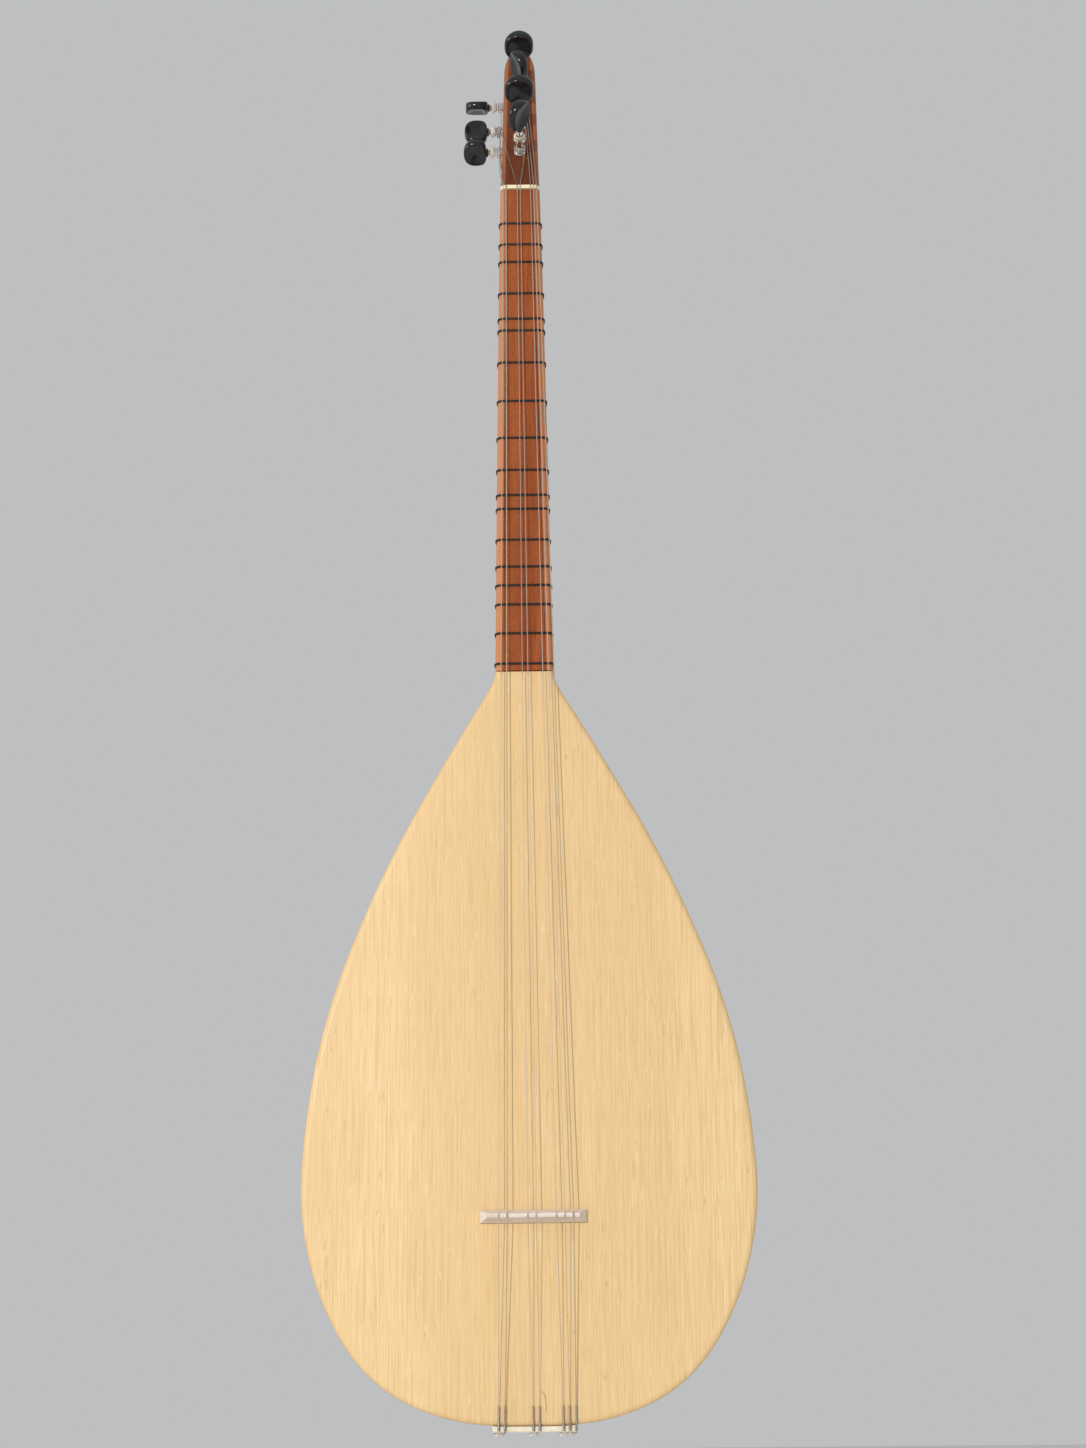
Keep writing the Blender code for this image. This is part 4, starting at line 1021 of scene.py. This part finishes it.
@dataclass
class TiedFret:
    """One fret: two turns of nylon side by side, with a knot on the upper edge of the neck.

    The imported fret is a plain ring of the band's thickness, round a neck whose front corners are
    rounded by the corner's radius.
    """

    number: int
    strand_radius: float = 0.00034
    seat: float = 0.00012
    band: float = 0.0011
    corner: float = 0.0033
    spacing: float = 0.00072
    corner_steps: int = 6
    back_steps: int = 26
    knot_share: float = 0.8
    knot_lift: float = 3.1
    knot_reach: Triple = (0.0003, 0.0008, 0.0010)
    knot_steps: int = 22
    end_offset: Triple = (-0.0001, 0.0005, 0.0009)
    end_length: float = 0.0015
    end_share: float = 0.8

    @property
    def node(self) -> str:
        """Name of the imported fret, which is its body's name too."""
        return f"fret_{self.number:02d}"

    def section(self, away: float) -> list[Vector]:
        """Closed line round the neck at a distance from its surface.

        Args:
            away: Distance out of the neck's surface.

        Returns:
            Points at the height of the fret's middle.
        """
        low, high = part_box(self.node)
        half, depth = high.x - self.band, high.y - self.band - self.corner
        height, reach = (low.z + high.z) / 2, self.corner + away
        points = []
        for step in range(self.corner_steps):
            turn = math.pi / 2 * step / self.corner_steps
            points.append(Vector((half - self.corner + reach * math.sin(turn),
                                  self.corner - reach * math.cos(turn), height)))
        for step in range(self.back_steps + 1):
            angle = math.pi * step / self.back_steps
            out = Vector((math.cos(angle) * depth, math.sin(angle) * half)).normalized()
            points.append(Vector((half * math.cos(angle) + out.x * away,
                                  self.corner + depth * math.sin(angle) + out.y * away, height)))
        front = points[:self.corner_steps]
        return points + [Vector((-point.x, point.y, height)) for point in reversed(front)]

    def knot(self) -> list[Piece]:
        """Make the knot and its trimmed end.

        Returns:
            Both pieces.
        """
        over = self.section(self.seat + self.knot_lift * self.strand_radius)
        spot = over[self.corner_steps + round(self.back_steps * self.knot_share)]
        deep, wide, tall = self.knot_reach
        loop = [spot + Vector((deep * math.sin(2 * turn), wide * math.cos(turn),
                               tall * math.sin(turn))) for turn in angles(self.knot_steps)]
        beside, behind, above = self.end_offset
        end = [spot + Vector((beside, behind * (1 - share), above + self.end_length * share))
               for share in (0.0, 0.5, 1.0)]
        return [tube(f"knot_{self.number:02d}", loop, self.strand_radius, closed=True),
                tube(f"knot_end_{self.number:02d}", end, self.strand_radius * self.end_share)]

    def build(self) -> None:
        """Make the two strands and the knot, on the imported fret's body."""
        middle = self.section(self.seat + self.strand_radius)
        strands = []
        for name, side in (("low", -0.5), ("high", 0.5)):
            path = [point + Vector((0.0, 0.0, side * self.spacing)) for point in middle]
            strands.append(tube(f"strand_{self.number:02d}_{name}", path, self.strand_radius,
                                sides=8, closed=True))
        knot = self.knot()
        settle(strands[0], self.node, FRET_NYLON, [self.node])
        for piece in (strands[1], *knot):
            settle(piece, self.node, FRET_NYLON)


@dataclass
class StringSet:
    """The strings, with the twisted wraps of their loops at the tail."""

    nodes: list[str]
    wound: tuple[int, ...] = (2, 7)
    with_loose_end: int = 4
    corner_reach: float = 0.0004
    aim_height: float = 0.010
    wrap_wire: float = 0.00013
    wrap_pitch: float = 0.00036
    wrap_length: float = 0.011
    wrap_radius: float = 0.00050
    bundle_wire: float = 0.00019
    bundle_radius: float = 0.00060
    bundle_drop: float = 0.0026
    bundle_rise: float = 0.0012
    bundle_spacing: float = 2.1
    points_per_turn: int = 10
    loose_wire: float = 0.00016
    loose_steps: int = 14
    loose_across: tuple[float, float] = (0.0002, 0.0034)
    loose_behind: tuple[float, float] = (-0.0010, 0.0011)
    loose_rise: Triple = (0.0185, 0.0008, 0.0105)
    loose_curl: float = 2.2

    def middle_at(self, node: str, height: float) -> Vector:
        """Middle of a packed string where its wire has corners near a height."""
        near = [point for point in node_points(node) if abs(point.z - height) < self.corner_reach]
        return sum(near, Vector()) / len(near)

    def coil(self, start: Vector, end: Vector, radius: float, pitch: float) -> list[Vector]:
        """Path of a wire that is wound round a straight line.

        Args:
            start: Where the line starts.
            end: Where it ends.
            radius: Radius of the winding.
            pitch: Distance between two turns.

        Returns:
            Points along the middle of the wire.
        """
        along = (end - start).normalized()
        side = along.cross(Vector((0.0, 1.0, 0.0))).normalized()
        other = along.cross(side)
        path = []
        for step in range(int((end - start).length / pitch * self.points_per_turn) + 1):
            turn = step / self.points_per_turn
            angle = 2 * math.pi * turn
            path.append(start + along * (turn * pitch)
                        + (side * math.cos(angle) + other * math.sin(angle)) * radius)
        return path

    def wrap(self, number: int, node: str) -> None:
        """Wind the string's own end round it above the tail, and in a bundle at the tailpiece.

        Args:
            number: Number of the string, from 1.
            node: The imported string.
        """
        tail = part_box("soundboard")[0].z
        foot = self.middle_at(node, tail)
        along = (self.middle_at(node, tail + self.aim_height) - foot).normalized()
        path = self.coil(foot + along * self.bundle_rise, foot + along * self.wrap_length,
                         self.wrap_radius, self.wrap_pitch)
        settle(tube(f"string_wrap_{number}", path, self.wrap_wire), MAIN_BODY,
               WOUND_WIRE)
        path = self.coil(foot - Vector((0.0, 0.0, self.bundle_drop)),
                         foot + Vector((0.0, 0.0, self.bundle_rise)),
                         self.bundle_radius, self.bundle_spacing * self.bundle_wire)
        settle(tube(f"string_bundle_{number}", path, self.bundle_wire), MAIN_BODY,
               DARK_WIRE)

    def loose_end(self, node: str) -> None:
        """Make the springy cut end that stands off a string near the tail.

        Args:
            node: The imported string.
        """
        start = self.middle_at(node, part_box("soundboard")[0].z)
        near, far = self.loose_across
        front, back = self.loose_behind
        height, arch, fall = self.loose_rise
        path = []
        for step in range(self.loose_steps + 1):
            share = step / self.loose_steps
            across = near + far * math.sin(share * math.pi / 2)
            rise = height + arch * math.sin(share * math.pi) - fall * share ** self.loose_curl
            path.append(start + Vector((across, front + back * share, rise)))
        settle(tube("string_loose_end", path, self.loose_wire), MAIN_BODY, WIRE)

    def build(self) -> None:
        """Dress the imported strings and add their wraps."""
        for number, node in enumerate(self.nodes, start=1):
            dress(node, WOUND_WIRE if number in self.wound else WIRE)
            self.wrap(number, node)
        self.loose_end(self.nodes[self.with_loose_end - 1])


# Tuners

def bulged(value: float, power: float) -> float:
    """A value from -1 to 1 raised to a power, with its sign kept."""
    return math.copysign(abs(value) ** power, value)


@dataclass
class Tuner:
    """One tuner: chrome spindle, cream washers and a dished black button.

    The button is a plate with a collar under it. Its outline is a superellipse, squarer near the
    collar than at the far end, and its faces sink from a lip into a dish.
    """

    row: TunerRow
    number: int
    discs: int = 1
    disc_gap: float = 0.00012
    disc_edge: float = 0.25
    spindle_edge: float = 0.00012
    rows: int = 72
    around: int = 72
    lip: float = 0.82
    lip_width: float = 0.04
    lip_drop: float = 0.12
    rim_taper: float = 0.45
    dish: float = 0.0019
    collar: float = 0.0024
    collar_inset: float = 0.0004
    collar_round: float = 0.0005
    collar_end: float = 0.0035
    collar_fade: float = 0.004
    near_squareness: float = 3.2
    far_squareness: float = 2.3
    across_power: float = 0.85
    away_power: float = 0.5
    merging: int = 4
    least_half: float = 0.0004
    same_corner: float = 4e-5
    same_level: float = 6e-5
    least_radius: float = 1e-4
    frame: Matrix = field(init=False)

    def __post_init__(self) -> None:
        """Set the frame on the joint's axis, with its +X across the button."""
        joint = next(joint for joint in JOINTS if joint["child"] == self.body)
        out = Vector(joint["axis"]).normalized()
        side = out.orthogonal().normalized()
        turn = Matrix((side, out.cross(side), out)).transposed().to_4x4()
        self.frame = Matrix.Translation(Vector(joint["pos_m"])) @ turn
        # With doubled angles opposite corners agree, so half the angle of their sum is the
        # direction in which the button is widest.
        spread = sum((Vector((point.x ** 2 - point.y ** 2, 2 * point.x * point.y))
                      for point in self.local(self.node("button"))), Vector((0.0, 0.0)))
        angle = math.atan2(spread.y, spread.x) / 2
        self.frame = self.frame @ Matrix.Rotation(angle, 4, "Z")

    @property
    def body(self) -> str:
        """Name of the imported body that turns."""
        return f"{self.row.value}_tuner_{self.number}"

    def node(self, part: str) -> str:
        """Name of one of the tuner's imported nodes."""
        return f"{self.row.value}_{part}_{self.number}"

    def local(self, node: str) -> list[Vector]:
        """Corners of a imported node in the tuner's frame."""
        back = self.frame.inverted()
        return [back @ point for point in node_points(node)]

    def profile(self, node: str) -> list[tuple[float, float]]:
        """Radius and height pairs of a packed turned node, in order along its axis.

        Args:
            node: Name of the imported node.

        Returns:
            The profile from the inner end outwards.
        """
        found = {}
        for point in self.local(node):
            radius = math.hypot(point.x, point.y)
            found[(round(radius, 5), round(point.z, 5))] = (radius, point.z)
        merged: list[tuple[float, float]] = []
        for pair in sorted(found.values(), key=lambda pair: pair[1]):
            if all(abs(pair[0] - other[0]) > self.same_corner
                   or abs(pair[1] - other[1]) > self.same_corner for other in merged):
                merged.append(pair)
        merged = [pair for pair in merged if pair[0] > self.least_radius]
        ordered: list[tuple[float, float]] = []
        while merged:
            level = [pair for pair in merged if pair[1] - merged[0][1] < self.same_level]
            last = ordered[-1][0] if ordered else 0.0
            level.sort(key=lambda pair: abs(pair[0] - last))
            ordered += level
            merged = merged[len(level):]
        return ordered

    def spindle(self) -> None:
        """Turn the chrome spindle finely and soften its steps."""
        name = self.node("spindle")
        piece = turned(f"{name}_turned", self.profile(name), self.frame)
        soften(piece, self.spindle_edge)
        settle(piece, self.body, CHROME, [name])

    def washers(self) -> None:
        """Set the cream washers between drum and button."""
        name = self.node("washer")
        points = self.local(name)
        low, high = min(point.z for point in points), max(point.z for point in points)
        radii = [math.hypot(point.x, point.y) for point in points]
        inner, outer = min(radii), max(radii)
        thick = (high - low - self.disc_gap * (self.discs - 1)) / self.discs
        edge = self.disc_edge * thick
        for disc in range(self.discs):
            base = low + disc * (thick + self.disc_gap)
            top = base + thick
            profile = [(inner, base), (outer - edge, base), (outer, base + edge),
                       (outer, top - edge), (outer - edge, top), (inner, top)]
            piece = turned(f"{name}_disc_{disc + 1}", profile, self.frame, hollow=True)
            settle(piece, self.body, CREAM_DISC, [] if disc else [name])

    def button(self) -> None:
        """Model the dished button as one skin from its collar to its far rim."""
        name = self.node("button")
        points = self.local(name)
        base, top = min(point.z for point in points), max(point.z for point in points)
        half_width = max(abs(point.x) for point in points)
        rim = max(abs(point.y) for point in points)
        half_length = (top - base - COLLAR_LENGTHS[self.row]) / 2
        centre = top - half_length
        rings = []
        for row in range(self.rows + 1):
            share = 0.5 - 0.5 * math.cos(math.pi * row / self.rows)
            height = base + (top - base) * share
            along = max(min((height - centre) / half_length, 1.0), -1.0)
            power = self.far_squareness if along > 0 else self.near_squareness
            plan = half_width * max(1 - abs(along) ** power, 0.0) ** (1 / power)
            stem = self.collar_radius(height - base) if height < centre else 0.0
            width = max(self.merged(plan, stem), self.least_half)
            ring = []
            for angle in angles(self.around):
                across = bulged(math.cos(angle), self.across_power)
                reach = self.reach(across * plan / half_width, along, power)
                thick = min(self.thickness(reach, rim), max(plan, self.least_half))
                away = bulged(math.sin(angle), self.away_power) * self.merged(thick, stem)
                ring.append(self.frame @ Vector((across * width, away, height)))
            rings.append(ring)
        piece = lofted(f"{name}_moulded", rings, smooth=60.0)
        settle(piece, self.body, BUTTON_BLACK, [name])

    def merged(self, plate: float, stem: float) -> float:
        """Half size of plate and collar where they flow into each other."""
        return (plate ** self.merging + stem ** self.merging) ** (1 / self.merging)

    def collar_radius(self, height: float) -> float:
        """Find the radius of the small collar under the plate, which fades out inside it.

        Args:
            height: Height over the collar's foot.

        Returns:
            The radius there.
        """
        start = min(height / self.collar_round, 1.0)
        fade = max(1 - max(height - self.collar_end, 0.0) / self.collar_fade, 0.0)
        return (self.collar - self.collar_inset * (1 - start) ** 2) * fade

    @staticmethod
    def reach(across: float, along: float, power: float) -> float:
        """Distance from the middle of the dish, 1 on the button's outline."""
        return min((abs(across) ** power + abs(along) ** power) ** (1 / power), 1.0)

    def thickness(self, reach: float, rim: float) -> float:
        """Half thickness of the button at a distance from the middle of the dish.

        Args:
            reach: 0 in the middle, 1 on the outline.
            rim: Half thickness of the rim.

        Returns:
            The half thickness there.
        """
        if reach < self.lip:
            sunk = 1 - (reach / self.lip) ** 2
            return rim - self.dish * (self.lip_drop + (1 - self.lip_drop) * sunk)
        if reach < self.lip + self.lip_width:
            step = (reach - self.lip) / self.lip_width
            return rim - self.dish * self.lip_drop * (1 - step * step * (3 - 2 * step))
        edge = (reach - self.lip - self.lip_width) / (1 - self.lip - self.lip_width)
        return rim * (1 - self.rim_taper * edge ** 3)

    def build(self) -> None:
        """Make the tuner's three parts."""
        self.spindle()
        self.washers()
        self.button()


# Studio

@dataclass(frozen=True)
class Lamp:
    """One light: an open square panel, or a beam whose cone keeps it off the floor."""

    name: str
    place: Triple
    size: float
    power: float
    tint: Colour
    cone: float | None = None
    mirrored: bool = True


@dataclass
class Studio:
    """Camera at the photograph's angle, pale floor and soft lights."""

    image_height: float = 1448.0
    focal_pixels: float = 2530.0
    sensor: float = 36.0
    far_limit: float = 60.0
    eye: Triple = (0.0110, -1.478, -0.751)
    pitch: float = math.radians(15.0)
    roll: float = math.radians(0.63)
    floor_height: float = -1.02
    floor_radius: float = 14.0
    floor_sides: int = 96
    floor_mottle: Triple = (3.0, 3.0, 3.0)
    floor_roughness: float = 0.8
    floor_colours: tuple[Colour, Colour] = ((0.80, 0.79, 0.77), (0.83, 0.82, 0.80))
    room_colour: Colour = (0.86, 0.87, 0.88)
    room_strength: float = 0.6
    aim: Triple = (0.0, 0.03, -0.38)
    beam_blend: float = 0.8
    lamps: tuple[Lamp, ...] = (
        Lamp("key", (-2.15, -5.75, 0.60), 0.10, 745.0, (1.0, 0.96, 0.90), cone=34.0),
        Lamp("left_fill", (-3.6, -0.9, 0.5), 1.6, 144.0, (1.0, 0.96, 0.9), cone=44.0),
        Lamp("back_fill", (2.2, 4.0, 1.8), 2.4, 95.0, (0.96, 0.98, 1.0), mirrored=False),
    )

    def camera(self) -> None:
        """Set the camera with the photograph's distance, pitch and roll."""
        data = bpy.data.cameras.new("view")
        data.sensor_width = self.sensor
        data.lens = self.focal_pixels / self.image_height * self.sensor
        data.clip_end = self.far_limit
        camera = bpy.data.objects.new("view", data)
        bpy.context.scene.collection.objects.link(camera)
        right = Vector((1.0, 0.0, 0.0))
        up = Vector((0.0, -math.sin(self.pitch), math.cos(self.pitch)))
        across = right * math.cos(self.roll) - up * math.sin(self.roll)
        above = right * math.sin(self.roll) + up * math.cos(self.roll)
        turn = Matrix((across, above, across.cross(above))).transposed().to_4x4()
        camera.matrix_world = Matrix.Translation(self.eye) @ turn
        bpy.context.scene.camera = camera

    def light(self, lamp: Lamp) -> None:
        """Add a light that points at the middle of the instrument.

        Args:
            lamp: Where the light stands and what it is like.
        """
        if lamp.cone is None:
            data = bpy.data.lights.new(lamp.name, "AREA")
            data.size = lamp.size
        else:
            data = bpy.data.lights.new(lamp.name, "SPOT")
            data.shadow_soft_size = lamp.size / 2
            data.spot_size = math.radians(lamp.cone)
            data.spot_blend = self.beam_blend
        data.energy = lamp.power
        data.color = lamp.tint
        light = bpy.data.objects.new(lamp.name, data)
        bpy.context.scene.collection.objects.link(light)
        light.location = lamp.place
        light.rotation_mode = "QUATERNION"
        light.rotation_quaternion = (Vector(self.aim) - light.location).to_track_quat("-Z", "Y")
        light.visible_glossy = lamp.mirrored

    def floor(self) -> None:
        """Lay the pale round floor under the hanging instrument."""
        rim = circle(self.floor_radius, self.floor_height, self.floor_sides)
        disc = mesh_piece("floor", rim, [range(self.floor_sides)])
        tree = NodeTree("floor_paper")
        soft = tree.noise(tree.place(), self.floor_mottle, detail=2.0)
        tree.set(base_color=tree.blend(soft, *self.floor_colours),
                 roughness=self.floor_roughness)
        disc.data.materials.append(tree.material)

    def room(self) -> None:
        """Fill the room with even pale light."""
        world = bpy.data.worlds.new("room")
        bpy.context.scene.world = world
        world.use_nodes = True
        background = world.node_tree.nodes["Background"]
        background.inputs["Color"].default_value = (*self.room_colour, 1.0)
        background.inputs["Strength"].default_value = self.room_strength

    def build(self) -> None:
        """Set up camera, floor, room and lights."""
        self.camera()
        self.floor()
        self.room()
        for lamp in self.lamps:
            self.light(lamp)
        bpy.context.scene.view_settings.view_transform = "Standard"


def numbered(name: str, count: int) -> list[str]:
    """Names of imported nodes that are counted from 1."""
    return [f"{name}_{number}" for number in range(1, count + 1)]


def main() -> None:
    """Build the studio, then every sub-assembly."""
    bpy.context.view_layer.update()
    outline = BodyOutline()
    steps: list[tuple[str, Callable[[], None]]] = [
        ("studio", Studio().build),
        ("soundboard", Soundboard(outline).build),
        ("bowl", Bowl(outline, numbered("stave", STAVES)).build),
        ("neck and head", NeckAndHead().build),
        ("strings", StringSet(numbered("string", STRINGS)).build),
    ]
    steps += [(f"fret {number}", TiedFret(number).build) for number in range(1, FRETS + 1)]
    for row, count in TUNERS.items():
        for number in range(1, count + 1):
            discs = 2 if (row, number) == TWO_DISC_TUNER else 1
            steps.append((f"{row.value} tuner {number}", Tuner(row, number, discs).build))
    for name, build in steps:
        LOG.info("building %s", name)
        build()


logging.basicConfig(level=logging.INFO, format="%(name)s: %(message)s")
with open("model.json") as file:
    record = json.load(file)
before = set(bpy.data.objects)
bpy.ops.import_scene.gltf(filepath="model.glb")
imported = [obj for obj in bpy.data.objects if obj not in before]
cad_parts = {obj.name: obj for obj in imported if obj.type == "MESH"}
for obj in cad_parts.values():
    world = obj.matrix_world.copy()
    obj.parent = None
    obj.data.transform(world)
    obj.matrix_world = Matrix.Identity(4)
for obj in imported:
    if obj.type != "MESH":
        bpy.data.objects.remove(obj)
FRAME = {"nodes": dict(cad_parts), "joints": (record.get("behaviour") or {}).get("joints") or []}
NODES = FRAME["nodes"]
JOINTS = FRAME["joints"]

if __name__ == "__main__":
    main()
